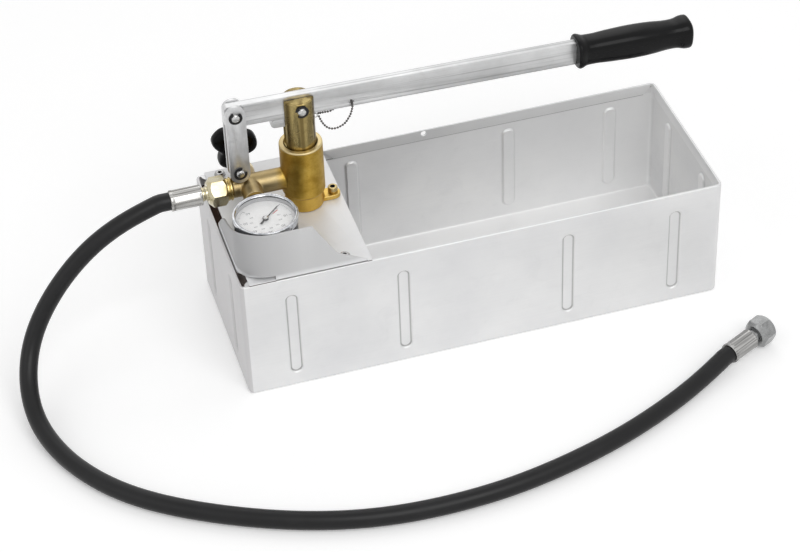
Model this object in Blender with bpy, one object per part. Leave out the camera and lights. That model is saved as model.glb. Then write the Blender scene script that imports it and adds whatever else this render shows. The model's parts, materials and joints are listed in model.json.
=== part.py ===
"""Hydrostatic test pump: a hand pump with a lever on an open steel tank, a pressure gauge and a test hose.

Lengths are in metres. X runs along the tank towards the grip, Y away from the gauge, Z up.
The origin is on the ground under the middle of the tank.
"""

import math

import bmesh
import bpy
from mathutils import Matrix, Vector

# Clearance left between pieces that touch on the real pump
GAP = 0.0003

# Tank: one open pan of stainless sheet
TANK_LENGTH = 0.500
TANK_WIDTH = 0.190
TANK_HEIGHT = 0.138
SHEET = 0.0012
CORNER_RADIUS = 0.006
FLOOR_RADIUS = 0.005
HEM_HEIGHT = 0.012
HEM_FOLD = 0.0014
FLANGE_WIDTH = 0.018
BEAD_WIDTH = 0.014
BEAD_DEPTH = 0.0018
BEAD_FOOT = 0.016
BEAD_BELOW_RIM = 0.021
BEAD_INNER_X = 0.086
BEAD_OUTER_X = 0.200
BEAD_END_Y = 0.046
HANG_HOLE_X = -0.007
HANG_HOLE_RADIUS = 0.002

# Cover plate with its splash guard, bent from one sheet
PLATE_SHEET = 0.0020
PLATE_LENGTH = 0.1235
PLATE_INSET = 0.0095
GUARD_HEIGHT = 0.055
GUARD_RADIUS = 0.032
GUARD_OFF_WALL = 0.0035
GUARD_SIDE_RUN = 0.070
GUARD_FREE_EDGE = 0.0045
GUARD_RELIEF = 0.027
GUARD_SLOPE_RUN = 0.0235
GUARD_TAIL_RUN = 0.029
GUARD_TAIL_HEIGHT = 0.016
GUARD_RIGHT_INSET = 0.005
SCREW_FROM_LEFT = 0.0145
SCREW_FROM_RIGHT = 0.0245
SCREW_FROM_FRONT = 0.0125
SCREW_FROM_REAR = 0.0090
PLATE_SCREW_RADIUS = 0.002
PLATE_SCREW_HEAD = 0.0053
PLATE_SCREW_HEAD_HEIGHT = 0.0030
PLATE_SCREW_LENGTH = 0.010
HEX_SOCKET = 0.0030

# Pump body casting
PUMP_FROM_END = 0.0945
PUMP_FROM_FRONT = 0.1100
BODY_HEIGHT = 0.0747
BODY_RADIUS = 0.02175
BODY_CHAMFER = 0.0012
BASE_RADIUS = 0.0195
BASE_HEIGHT = 0.0165
BORE_RADIUS = 0.0161
BORE_FLOOR = 0.010
SEAL_BELOW_TOP = 0.010
SEAL_HEIGHT = 0.005
SEAL_DEPTH = 0.003
ARM_HEIGHT = 0.0344
ARM_RADIUS = 0.0112
ARM_REACH = 0.0625
NECK_RADIUS = 0.0100
NECK_LENGTH = 0.0100
CROSS_FROM_AXIS = 0.0550
GAUGE_BOSS_RADIUS = 0.0105
GAUGE_BOSS_REACH = 0.0260
VALVE_BOSS_RADIUS = 0.0105
VALVE_BOSS_REACH = 0.0210
PORT_RADIUS = 0.0030
CROSS_PORT_RADIUS = 0.0026
SOCKET_RADIUS = 0.0066
SOCKET_DEPTH = 0.0110
FOOT_WIDTH = 0.0150
FOOT_THICKNESS = 0.0050
FOOT_REACH = 0.0295
BODY_SCREW_RADIUS = 0.0030
BODY_SCREW_HEAD = 0.0050
BODY_SCREW_HEAD_HEIGHT = 0.0060
BODY_SCREW_SOCKET = 0.0025
LUG_WIDTH = 0.0160
LUG_THICKNESS = 0.0080

# Linkage
LINK_FROM_AXIS = 0.0640
LINK_PIN_HEIGHT = 0.0564
LINK_WIDTH = 0.0200
LINK_THICKNESS = 0.0035
LINK_OVERRUN = 0.0030
LINK_FOOT_OVERRUN = 0.0012
LINK_PIN_ABOVE_BAR = 0.0013
PIN_RADIUS = 0.0040
PIN_STAND_OUT = 0.0022
CLIP_RADIUS = 0.0068
CLIP_THICKNESS = 0.0010
CLIP_SEAT = 0.0032
CLIP_OPENING = 62.0

# Piston
PISTON_RADIUS = 0.01575
LEVER_AXIS_HEIGHT = 0.1207
EAR_ABOVE_AXIS = 0.0085
SLOT_WIDTH = 0.0090
SLOT_BELOW_AXIS = 0.0465
EAR_CHAMFER = 0.0012

# Lever, turned as one about the piston pin by its resting tilt
LEVER_TILT = 1.1
LEVER_DEPTH = 0.0250
LEVER_THICKNESS = 0.0080
LEVER_TAIL = 0.0100
LEVER_CORNER = 0.0040
LINK_PLAY = 0.0040
GRIP_START = 0.2860
GRIP_LENGTH = 0.1225
GRIP_RADIUS = 0.0163
GRIP_WALL_END = 0.0050
TANG_DEPTH = 0.0180
CHAIN_HOLE_FROM_AXIS = 0.0530
CHAIN_HOLE_RADIUS = 0.0024
CHAIN_HOLE_ABOVE_EDGE = 0.0057

# Lock bar with its ring and chain
LOCK_LENGTH = 0.0445
LOCK_DEPTH = 0.0095
LOCK_THICKNESS = 0.0060
LOCK_BELOW_LEVER = 0.0008
LOCK_LEFT_OF_AXIS = 0.0285
LOCK_HOLE_RADIUS = 0.0022
LOCK_HOLE_FROM_END = 0.0034
RING_RADIUS = 0.0039
RING_WIRE = 0.0006
CHAIN_RADIUS = 0.0010

# Pressure gauge
GAUGE_FROM_PUMP = 0.0680
GAUGE_RADIUS = 0.0310
GAUGE_DEPTH = 0.0245
GAUGE_FLOOR_TO_STEM = 0.0135
GAUGE_WELL = 0.0050
GAUGE_WALL = 0.0013
BEZEL_RADIUS = 0.0322
BEZEL_HEIGHT = 0.0070
BEZEL_LIP = 0.0025
BEZEL_TOP = 0.0014
LENS_THICKNESS = 0.0016
DIAL_THICKNESS = 0.0008
NEEDLE_REACH = 0.0225
NEEDLE_TAIL = 0.0090
NEEDLE_WIDTH = 0.0013
NEEDLE_HUB = 0.0030
NEEDLE_THICKNESS = 0.0006
NEEDLE_ANGLE = 45.0
ARBOR_RADIUS = 0.0010
STEM_SQUARE = 0.0140
STEM_THREAD = 0.0063
STEM_NECK = 0.0045

# Release valve behind the arm
BONNET_HEX = 0.0190
BONNET_HEX_LENGTH = 0.0090
BONNET_RADIUS = 0.0070
BONNET_LENGTH = 0.0200
SPINDLE_RADIUS = 0.0040
SPINDLE_OUT = 0.0160
KNOB_RADIUS = 0.0250
KNOB_VALLEY = 0.0155
KNOB_THICKNESS = 0.0140
KNOB_HUB_RADIUS = 0.0105
KNOB_HUB_LENGTH = 0.0070
KNOB_BORE_DEPTH = 0.0120
KNOB_TURN = -12.0

# Outlet and hose fittings
COLLAR_RADIUS = 0.0118
COLLAR_LENGTH = 0.0060
SPIGOT_RADIUS = 0.0085
SPIGOT_LENGTH = 0.0115
NUT_HEX = 0.0270
NUT_LENGTH = 0.0185
NUT_LIP = 0.0035
NUT_CHAMFER = 0.0018
NUT_TURN = -15.0
TAIL_FLANGE = 0.0083
TAIL_FLANGE_LENGTH = 0.0022
TAIL_NECK = 0.0071
TAIL_NECK_LENGTH = 0.0060
TAIL_BORE = 0.0030
TAIL_SPIGOT = 0.0045
FERRULE_RADIUS = 0.0108
FERRULE_LENGTH = 0.0320
FERRULE_RIM = 0.0010
FERRULE_FACETS = 10
HOSE_RADIUS = 0.00875
HOSE_SPACING = 0.022
FAR_NUT_X = 0.2590
FAR_NUT_Y = -0.1855
FAR_HEADING = 27.0
FAR_NUT_TURN = 11.0
FAR_NUT_HEIGHT = 0.0150

# Suction side under the plate
SUCTION_THREAD = 0.0087
SUCTION_SOCKET_DEPTH = 0.0070
SUCTION_FLANGE = 0.0140
SUCTION_FLANGE_HEIGHT = 0.0060
SUCTION_BODY = 0.0105
SUCTION_BODY_HEIGHT = 0.0220
BALL_CHAMBER = 0.0060
BALL_CHAMBER_HEIGHT = 0.0130
BALL_RADIUS = 0.0045
SEAT_HEIGHT = 0.0050
BARB_RADIUS = 0.0045
BARB_LENGTH = 0.0100
TUBE_RADIUS = 0.0075
TUBE_WALL = 0.0022
STRAINER_RADIUS = 0.0130
STRAINER_HEIGHT = 0.0200
STRAINER_OFF_FLOOR = 0.0040
STRAINER_WALL = 0.0015
STRAINER_SLOTS = 6
STRAINER_SLOT_WIDTH = 0.0030

# The guard's edges along its side, as (share of the way back, share of the height or of the free edge)
guard_rim_shares = [
    (0.0, 1.0), (0.07, 0.985), (0.15, 0.945), (0.225, 0.90), (0.40, 0.742), (0.56, 0.624), (0.725, 0.516),
    (1.0, 0.04),
]
guard_foot_shares = [
    (0.0, 1.0), (0.05, 0.76), (0.13, 0.22), (0.19, 0.0), (0.31, -1.4), (0.373, -2.07), (0.45, -2.3),
    (1.0, -2.3),
]

# The grip's and the knob's outlines, as (share of the length, share of the radius)
grip_shares = [(0.0, 1.00), (0.012, 1.04), (0.035, 1.03), (0.07, 0.93), (0.12, 0.905), (0.30, 0.96), (0.50, 1.0),
               (0.68, 0.95), (0.78, 0.885), (0.87, 0.90), (0.925, 1.0), (0.955, 1.01), (0.985, 0.93),
               (1.0, 0.70)]
knob_shares = [(0.0, 0.86), (0.14, 0.97), (0.32, 1.0), (0.72, 1.0), (0.92, 0.94), (1.0, 0.82)]

# Shares of a screw's head height, for its side; of the gauge's radius, for its stem's start and hole;
# of the port's radius, for the valve seat's mouth; and of the grip's length, for the tang's pocket
dome_side_share = 0.35
flat_side_share = 0.92
stem_start_share = 0.75
stem_hole_share = 0.70
seat_mouth_share = 1.25
pocket_overrun_share = 0.125

# How finely round pieces are cut into faces
ROUND_DIAL = 30
ROUND_KNOB = 28
ROUND = 24
ROUND_GRIP = 20
ROUND_NUT = 20
ROUND_RING = 16
ROUND_SMALL = 12
ROUND_CLIP = 12
ROUND_TINY = 10
HALF_STEPS = 8
END_STEPS = 10
CORNER_STEPS = 4
BEND_STEPS = 8

# How many times larger solids are while they are joined and cut
ENLARGED = 1000

# Places that follow from the sizes above
PUMP_X = -TANK_LENGTH / 2 + PUMP_FROM_END
PUMP_Y = -TANK_WIDTH / 2 + PUMP_FROM_FRONT
PLATE_BASE = TANK_HEIGHT + GAP
PLATE_TOP = PLATE_BASE + PLATE_SHEET
PLATE_LEFT = -TANK_LENGTH / 2 + PLATE_INSET
PLATE_RIGHT = PLATE_LEFT + PLATE_LENGTH
BODY_BASE = PLATE_TOP + GAP
BODY_TOP = BODY_BASE + BODY_HEIGHT
ARM_Z = BODY_BASE + ARM_HEIGHT
CROSS_X = PUMP_X - CROSS_FROM_AXIS
ARM_END = PUMP_X - ARM_REACH
NECK_END = ARM_END - NECK_LENGTH
LINK_X = PUMP_X - LINK_FROM_AXIS
LINK_PIN_Z = BODY_BASE + LINK_PIN_HEIGHT
LEVER_Z = BODY_BASE + LEVER_AXIS_HEIGHT
LINK_TOP_Z = LEVER_Z + LINK_FROM_AXIS * math.tan(math.radians(LEVER_TILT)) + LINK_PIN_ABOVE_BAR

# Hose route, along its middle, from the near ferrule to the far one
HOSE_ROUTE = [
    (-0.3110, 0.0155, 0.1722),
    (-0.3345, 0.0125, 0.1660),
    (-0.3660, 0.0090, 0.1520),
    (-0.3895, 0.0045, 0.1355),
    (-0.4085, 0.0015, 0.1170),
    (-0.4245, -0.0010, 0.0970),
    (-0.4440, -0.0090, 0.0700),
    (-0.4565, -0.0240, 0.0460),
    (-0.4625, -0.0480, 0.0280),
    (-0.4620, -0.0800, 0.0155),
    (-0.4495, -0.1210, 0.0095),
    (-0.4330, -0.1549, 0.00875),
    (-0.4100, -0.1880, 0.00875),
    (-0.3783, -0.2183, 0.00875),
    (-0.3359, -0.2470, 0.00875),
    (-0.2849, -0.2740, 0.00875),
    (-0.2324, -0.2950, 0.00875),
    (-0.1776, -0.3085, 0.00875),
    (-0.1200, -0.3135, 0.00875),
    (-0.0596, -0.3110, 0.00875),
    (-0.0160, -0.3040, 0.00875),
    (0.0271, -0.2935, 0.00875),
    (0.0731, -0.2790, 0.00875),
    (0.1225, -0.2580, 0.00875),
    (0.1617, -0.2375, 0.00920),
    (0.1900, -0.2215, 0.01060),
]

# Chain route, as places from the lever pin along the lever, across it and up
CHAIN_ROUTE = [
    (0.0204, -0.0015, -0.0195),
    (0.0225, -0.0034, -0.0250),
    (0.0265, -0.0046, -0.0310),
    (0.0310, -0.0056, -0.0336),
    (0.0360, -0.0062, -0.0338),
    (0.0410, -0.0066, -0.0320),
    (0.0450, -0.0068, -0.0292),
    (0.0482, -0.0068, -0.0250),
    (0.0508, -0.0066, -0.0205),
    (0.0526, -0.0064, -0.0150),
    (0.0533, -0.0062, -0.0105),
    (0.0531, -0.0050, -0.0072),
    (0.0530, 0.0000, -0.0068),
    (0.0531, 0.0050, -0.0072),
    (0.0524, 0.0063, -0.0105),
    (0.0465, 0.0064, -0.0155),
    (0.0410, 0.0061, -0.0178),
    (0.0375, 0.0056, -0.0190),
    (0.0330, 0.0050, -0.0203),
    (0.0280, 0.0044, -0.0199),
    (0.0235, 0.0030, -0.0189),
    (0.0206, 0.0015, -0.0178),
]

STEEL = ("stainless_sheet", (0.72, 0.73, 0.74), 1.0, 0.32)
BRASS = ("cast_brass", (0.66, 0.49, 0.20), 1.0, 0.38)
TURNED_BRASS = ("turned_brass", (0.78, 0.60, 0.28), 1.0, 0.25)
ALLOY = ("drawn_alloy", (0.66, 0.67, 0.68), 1.0, 0.42)
LINK_STEEL = ("link_steel", (0.58, 0.59, 0.60), 1.0, 0.40)
BRIGHT = ("bright_steel", (0.80, 0.80, 0.80), 1.0, 0.18)
CHROME = ("chrome", (0.82, 0.83, 0.84), 1.0, 0.10)
BLACK_OXIDE = ("black_clip", (0.03, 0.03, 0.03), 0.6, 0.45)
BLACK_PLASTIC = ("black_plastic", (0.02, 0.02, 0.02), 0.0, 0.45)
RUBBER = ("black_hose", (0.02, 0.02, 0.02), 0.0, 0.55)
DIAL_WHITE = ("dial_white", (0.85, 0.85, 0.85), 0.0, 0.5)
LENS = ("clear_lens", (0.95, 0.95, 0.95), 0.0, 0.05)
NEEDLE_BLACK = ("needle_black", (0.03, 0.03, 0.03), 0.0, 0.4)
SEAL_BLACK = ("seal_rubber", (0.03, 0.03, 0.03), 0.0, 0.7)
GREY_PLASTIC = ("grey_plastic", (0.35, 0.36, 0.37), 0.0, 0.5)


def clear_scene():
    for obj in list(bpy.data.objects):
        bpy.data.objects.remove(obj)


def paint(obj, look):
    name, colour, metallic, roughness = look
    material = bpy.data.materials.get(name)
    if material is None:
        material = bpy.data.materials.new(name)
        material.use_nodes = True
        shader = material.node_tree.nodes["Principled BSDF"]
        shader.inputs["Base Color"].default_value = (*colour, 1.0)
        shader.inputs["Metallic"].default_value = metallic
        shader.inputs["Roughness"].default_value = roughness
        material.diffuse_color = (*colour, 1.0)
    obj.data.materials.clear()
    obj.data.materials.append(material)


def add(name, points, faces, look=None):
    """A closed mesh object with its faces turned outwards."""
    mesh = bpy.data.meshes.new(name)
    mesh.from_pydata([tuple(p) for p in points], [], faces)
    shape = bmesh.new()
    shape.from_mesh(mesh)
    bmesh.ops.recalc_face_normals(shape, faces=shape.faces)
    shape.to_mesh(mesh)
    shape.free()
    obj = bpy.data.objects.new(name, mesh)
    bpy.context.scene.collection.objects.link(obj)
    if look:
        paint(obj, look)
    return obj


def move(obj, matrix):
    obj.data.transform(matrix)
    obj.data.update()
    return obj


def smooth(obj, degrees=35.0):
    obj.data.shade_smooth()
    obj.data.set_sharp_from_angle(angle=math.radians(degrees))
    return obj


def facing(axis):
    """The turn that lays a shape's own Z along the named direction."""
    return {
        "z": Matrix.Identity(4),
        "-z": Matrix.Rotation(math.pi, 4, "X"),
        "x": Matrix.Rotation(math.pi / 2, 4, "Y"),
        "-x": Matrix.Rotation(-math.pi / 2, 4, "Y"),
        "y": Matrix.Rotation(-math.pi / 2, 4, "X"),
        "-y": Matrix.Rotation(math.pi / 2, 4, "X"),
    }[axis]


def place(obj, at=(0, 0, 0), axis="z"):
    return move(obj, Matrix.Translation(Vector(at)) @ facing(axis))


def lathe(name, profile, look=None, at=(0, 0, 0), axis="z", sides=ROUND, turn=0.0):
    """Turns a closed outline of (radius, height) corners about Z, where a radius of zero closes an end.

    A corner with a third number draws every second point of its ring in to that share of the radius.
    """
    points, rings = [], []
    for radius, height, *pressed in profile:
        ring = []
        for k in range(sides if radius else 1):
            angle = 2 * math.pi * k / sides + turn
            reach = radius * pressed[0] if pressed and k % 2 else radius
            ring.append(len(points))
            points.append((reach * math.cos(angle), reach * math.sin(angle), height))
        rings.append(ring)
    faces, unused = [], set()
    for i, low in enumerate(rings):
        high = rings[(i + 1) % len(rings)]
        if len(low) == 1 and len(high) == 1:
            continue
        if 1 in (len(low), len(high)):
            tip, rim = (low, high) if len(low) == 1 else (high, low)
            if points[tip[0]][2] == points[rim[0]][2]:
                faces.append(tuple(rim))
                unused.add(tip[0])
            else:
                faces += [(tip[0], rim[k], rim[(k + 1) % sides]) for k in range(sides)]
            continue
        for k in range(sides):
            j = (k + 1) % sides
            faces.append((low[k], low[j], high[j], high[k]))
    kept = [k for k in range(len(points)) if k not in unused]
    renumbered = {old: new for new, old in enumerate(kept)}
    faces = [tuple(renumbered[k] for k in face) for face in faces]
    return smooth(place(add(name, [points[k] for k in kept], faces, look), at, axis))


def rod(name, radius, low, high, look=None, at=(0, 0, 0), axis="z", sides=ROUND, edge=0.0, turn=0.0):
    if edge:
        profile = [
            (0, low), (radius - edge, low), (radius, low + edge), (radius, high - edge),
            (radius - edge, high), (0, high),
        ]
    else:
        profile = [(0, low), (radius, low), (radius, high), (0, high)]
    return lathe(name, profile, look, at, axis, sides, turn)


def prism(name, outline, low, high, look=None, at=(0, 0, 0), axis="z", edge=0.0):
    """Extrudes a convex or plain outline along Z, with its rims bevelled by edge."""
    count = len(outline)
    levels = [(low, 0.0), (high, 0.0)]
    if edge:
        levels = [(low, edge), (low + edge, 0.0), (high - edge, 0.0), (high, edge)]
    points = []
    for height, inset in levels:
        for x, y in inset_outline(outline, inset):
            points.append((x, y, height))
    faces = [tuple(range(count))[::-1], tuple(range(count * (len(levels) - 1), count * len(levels)))]
    for level in range(len(levels) - 1):
        for k in range(count):
            j = (k + 1) % count
            a, b = level * count, (level + 1) * count
            faces.append((a + k, a + j, b + j, b + k))
    return place(add(name, points, faces, look), at, axis)


def inset_outline(outline, inset):
    if not inset:
        return outline
    area = sum(a[0] * b[1] - b[0] * a[1] for a, b in zip(outline, outline[1:] + outline[:1]))
    side = 1.0 if area > 0 else -1.0
    moved = []
    for k, here in enumerate(outline):
        before, after = Vector(outline[k - 1]), Vector(outline[(k + 1) % len(outline)])
        first = (Vector(here) - before).normalized()
        second = (after - Vector(here)).normalized()
        normals = [Vector((-d.y, d.x)) * side for d in (first, second)]
        middle = normals[0] + normals[1]
        moved.append(tuple(Vector(here) + middle * (inset / max(1e-9, 0.5 * middle.length_squared))))
    return moved


def box(name, low, high, look=None):
    outline = [(low[0], low[1]), (high[0], low[1]), (high[0], high[1]), (low[0], high[1])]
    return prism(name, outline, low[2], high[2], look)


def arc(centre, radius, start, end, steps):
    return [
        (
            centre[0] + radius * math.cos(math.radians(start + (end - start) * k / steps)),
            centre[1] + radius * math.sin(math.radians(start + (end - start) * k / steps)),
        )
        for k in range(steps + 1)
    ]


def capsule(low, high, radius, steps):
    """An outline with round ends, between two heights on the Y axis of its plane."""
    return arc((0, low), radius, 180, 360, steps) + arc((0, high), radius, 0, 180, steps)


def hexagon(across_flats, turn=0.0):
    corner = across_flats / math.sqrt(3)
    return [
        (corner * math.cos(math.radians(60 * k + turn)), corner * math.sin(math.radians(60 * k + turn)))
        for k in range(6)
    ]


def combine(base, others, operation):
    """Joins, cuts or intersects solids one after another, and removes the helpers.

    It works on them enlarged, because the solver loses faces between points as close as these.
    """
    larger = Matrix.Scale(ENLARGED, 4)
    base.data.transform(larger)
    for other in others:
        other.data.transform(larger)
        modifier = base.modifiers.new("combine", "BOOLEAN")
        modifier.operation = operation
        modifier.solver = "EXACT"
        modifier.object = other
        bpy.context.view_layer.update()
        graph = bpy.context.evaluated_depsgraph_get()
        made = bpy.data.meshes.new_from_object(base.evaluated_get(graph))
        base.modifiers.clear()
        base.data = made
        bpy.data.objects.remove(other)
    base.data.transform(larger.inverted())
    base.data.name = base.name
    return base


def join(base, others):
    return combine(base, others, "UNION")


def cut(base, others):
    return combine(base, others, "DIFFERENCE")


def spline_points(route, spacing):
    """Points at even spacing along a smooth curve through the route."""
    dense = []
    for k in range(len(route) - 1):
        before = route[max(k - 1, 0)]
        start, end = route[k], route[k + 1]
        after = route[min(k + 2, len(route) - 1)]
        for step in range(ROUND):
            t = step / ROUND
            dense.append(
                0.5 * (2 * start + (end - before) * t + (2 * before - 5 * start + 4 * end - after) * t * t
                       + (3 * start - before - 3 * end + after) * t * t * t)
            )
    dense.append(route[-1])
    travelled = [0.0]
    for a, b in zip(dense, dense[1:]):
        travelled.append(travelled[-1] + (b - a).length)
    count = max(2, round(travelled[-1] / spacing))
    made, here = [], 0
    for step in range(count + 1):
        wanted = travelled[-1] * step / count
        while here < len(dense) - 2 and travelled[here + 1] < wanted:
            here += 1
        share = (wanted - travelled[here]) / (travelled[here + 1] - travelled[here])
        made.append(dense[here].lerp(dense[here + 1], min(1.0, share)))
    return made


def tube(name, points, radius, look, resolution):
    """A solid cord along the points, as a curve with closed ends."""
    curve = bpy.data.curves.new(name, "CURVE")
    curve.dimensions = "3D"
    curve.bevel_depth = radius
    curve.bevel_resolution = resolution
    curve.use_fill_caps = True
    line = curve.splines.new("POLY")
    line.points.add(len(points) - 1)
    for slot, point in zip(line.points, points):
        slot.co = (*point, 1.0)
    obj = bpy.data.objects.new(name, curve)
    bpy.context.scene.collection.objects.link(obj)
    paint(obj, look)
    return obj


def rounded_loop(inset, height, corner_steps):
    """A level ring of the tank, drawn in from its outside by inset."""
    half_x = TANK_LENGTH / 2 - inset
    half_y = TANK_WIDTH / 2 - inset
    radius = max(CORNER_RADIUS - inset, SHEET / 2)
    ring = []
    for sign_x, sign_y, start in ((1, 1, 0), (-1, 1, 90), (-1, -1, 180), (1, -1, 270)):
        centre = (sign_x * (half_x - radius), sign_y * (half_y - radius))
        ring += [(*p, height) for p in arc(centre, radius, start, start + 90, corner_steps)]
    return ring


def tank_shell():
    steps = CORNER_STEPS
    levels = []
    for k in range(steps + 1):
        angle = math.radians(90 * k / steps)
        levels.append((FLOOR_RADIUS * (1 - math.sin(angle)), FLOOR_RADIUS * (1 - math.cos(angle))))
    levels.append((0.0, TANK_HEIGHT))
    levels.append((SHEET, TANK_HEIGHT))
    inner = FLOOR_RADIUS - SHEET
    for k in range(steps + 1):
        angle = math.radians(90 - 90 * k / steps)
        levels.append((SHEET + inner * (1 - math.sin(angle)), SHEET + inner * (1 - math.cos(angle))))
    points, rings = [], []
    for inset, height in levels:
        loop = rounded_loop(inset, height, steps)
        rings.append(list(range(len(points), len(points) + len(loop))))
        points += loop
    faces = []
    for low, high in zip(rings, rings[1:]):
        for k in range(len(low)):
            j = (k + 1) % len(low)
            faces.append((low[k], low[j], high[j], high[k]))
    faces.append(tuple(rings[0])[::-1])
    faces.append(tuple(rings[-1]))
    return add("tank", points, faces, STEEL)


def bead(radius, start, end, low, high, facing_matrix):
    """A tapering, round-ended bar pressed along a wall's normal."""
    middle = (BEAD_FOOT + radius, TANK_HEIGHT - BEAD_BELOW_RIM - radius)
    outline = capsule(*middle, radius, ROUND_TINY // 3)
    count = len(outline)
    points = []
    for height, inset in ((start, low), (end, high)):
        points += [(x, y, height) for x, y in inset_outline(outline, inset)]
    faces = [tuple(range(count))[::-1], tuple(range(count, 2 * count))]
    for k in range(count):
        j = (k + 1) % count
        faces.append((k, j, count + j, count + k))
    return move(add("bead", points, faces), facing_matrix)


def wall_frames():
    """Where each bead stands, as a matrix whose Z points into the tank and whose Y points up."""
    frames = []
    for side in (-1, 1):
        for x in (-BEAD_OUTER_X, -BEAD_INNER_X, BEAD_INNER_X, BEAD_OUTER_X):
            inward = Vector((0, -side, 0))
            frames.append((Vector((x, side * TANK_WIDTH / 2, 0)), inward))
        for y in (-BEAD_END_Y, BEAD_END_Y):
            inward = Vector((-side, 0, 0))
            frames.append((Vector((side * TANK_LENGTH / 2, y, 0)), inward))
    made = []
    for at, inward in frames:
        up = Vector((0, 0, 1))
        along = up.cross(inward)
        turn = Matrix((along, up, inward)).transposed().to_4x4()
        made.append(Matrix.Translation(at) @ turn)
    return made


def make_tank():
    tank = tank_shell()
    half_x, half_y = TANK_LENGTH / 2, TANK_WIDTH / 2
    taper = BEAD_DEPTH / 2
    ribs, grooves = [], []
    for frame in wall_frames():
        ribs.append(bead(BEAD_WIDTH / 2 + SHEET / 2, SHEET / 2, SHEET + BEAD_DEPTH, 0.0, taper, frame))
        grooves.append(bead(BEAD_WIDTH / 2, -SHEET, BEAD_DEPTH, 0.0, taper, frame))
    folds = []
    low, high = TANK_HEIGHT - HEM_HEIGHT, TANK_HEIGHT
    right = half_x - SHEET - GAP
    for side in (-1, 1):
        # The long walls fold down inside past the plate, with mitred ends
        start = PLATE_RIGHT + SHEET
        outline = [(start, high), (right, high), (right - HEM_HEIGHT, low), (start + HEM_HEIGHT, low)]
        wall = side * (half_y - SHEET / 2)
        face = side * (half_y - SHEET - HEM_FOLD)
        strip = prism("hem", outline, 0.0, abs(wall - face))
        folds.append(move(
            strip, Matrix.Translation((0, max(wall, face), 0)) @ Matrix.Rotation(math.pi / 2, 4, "X"),
        ))
        # Under the plate they fold inwards and lie level
        left_end = -half_x + SHEET
        inner = half_y - FLANGE_WIDTH
        flange = [
            (left_end, side * (half_y - SHEET / 2)),
            (PLATE_RIGHT - SHEET, side * (half_y - SHEET / 2)),
            (PLATE_RIGHT - SHEET - FLANGE_WIDTH, side * inner),
            (left_end + FLANGE_WIDTH, side * inner),
        ]
        folds.append(prism("flange", flange, TANK_HEIGHT - SHEET, TANK_HEIGHT))
        wall_x = side * (half_x - SHEET / 2)
        face_x = side * (half_x - SHEET - HEM_FOLD)
        reach = half_y - CORNER_RADIUS - SHEET
        outline = [(-reach, high), (reach, high), (reach - HEM_HEIGHT, low), (-reach + HEM_HEIGHT, low)]
        strip = prism("hem_end", outline, 0.0, abs(wall_x - face_x))
        turn = Matrix(((0, 0, 1, 0), (1, 0, 0, 0), (0, 1, 0, 0), (0, 0, 0, 1)))
        folds.append(move(strip, Matrix.Translation((min(wall_x, face_x), 0, 0)) @ turn))
    join(tank, ribs + folds)
    cuts = list(grooves)
    cuts.append(rod(
        "hole", HANG_HOLE_RADIUS, -HEM_HEIGHT, HEM_HEIGHT,
        at=(HANG_HOLE_X, half_y, TANK_HEIGHT - HEM_HEIGHT / 4), axis="y", sides=ROUND_TINY,
    ))
    for x, y in screw_places():
        cuts.append(rod(
            "hole", PLATE_SCREW_RADIUS + GAP, -PLATE_SCREW_LENGTH, PLATE_SCREW_LENGTH,
            at=(x, y, TANK_HEIGHT), sides=ROUND_TINY,
        ))
    cut(tank, cuts)
    return smooth(tank, 30.0)


def screw_places():
    return [
        (x, y)
        for x in (PLATE_LEFT + SCREW_FROM_LEFT, PLATE_RIGHT - SCREW_FROM_RIGHT)
        for y in (SCREW_FROM_FRONT - TANK_WIDTH / 2, TANK_WIDTH / 2 - SCREW_FROM_REAR)
    ]


def guard_path():
    """The guard's outer face seen from above, as (x, y), from its right end round to its left side."""
    front = -TANK_WIDTH / 2
    left = -TANK_LENGTH / 2 + GUARD_OFF_WALL
    right = PLATE_RIGHT - GUARD_RIGHT_INSET
    turn_x = left + GUARD_RADIUS
    relief = PLATE_LEFT + GUARD_RELIEF
    tail_end = right - GUARD_TAIL_RUN
    slope_end = tail_end - GUARD_SLOPE_RUN
    places = [(x, front) for x in (right, tail_end, slope_end)]
    places.append((relief, front))
    steps = BEND_STEPS
    if turn_x < relief:
        places.append((turn_x, front))
    for k in range(1, steps + 1):
        angle = math.radians(270 - 90 * k / steps)
        places.append(
            (turn_x + GUARD_RADIUS * math.cos(angle), front + GUARD_RADIUS + GUARD_RADIUS * math.sin(angle))
        )
    whole = GUARD_RADIUS + GUARD_SIDE_RUN
    for share, _ in guard_rim_shares:
        if share * whole > GUARD_RADIUS:
            places.append((left, front + share * whole))
    return places


def along(shares, way):
    """Reads a share table at a place between its first and last entry."""
    for (start, low), (end, high) in zip(shares, shares[1:]):
        if way <= end:
            return low + (high - low) * (way - start) / (end - start)
    return shares[-1][1]


def guard_heights(places):
    """Upper and lower edge of the guard at each place of its path, above the plate's top."""
    top, foot = [], []
    front = -TANK_WIDTH / 2
    relief = PLATE_LEFT + GUARD_RELIEF
    right = places[0][0]
    for x, y in places:
        way = (y - front) / (GUARD_RADIUS + GUARD_SIDE_RUN)
        if x > right - GAP:
            top.append(SHEET)
        elif x > right - GUARD_TAIL_RUN - GAP:
            top.append(GUARD_TAIL_HEIGHT)
        else:
            top.append(GUARD_HEIGHT * along(guard_rim_shares, way))
        if x >= relief - GAP:
            foot.append(-PLATE_SHEET / 2)
        else:
            foot.append(GUARD_FREE_EDGE * along(guard_foot_shares, way))
    return top, foot


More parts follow.
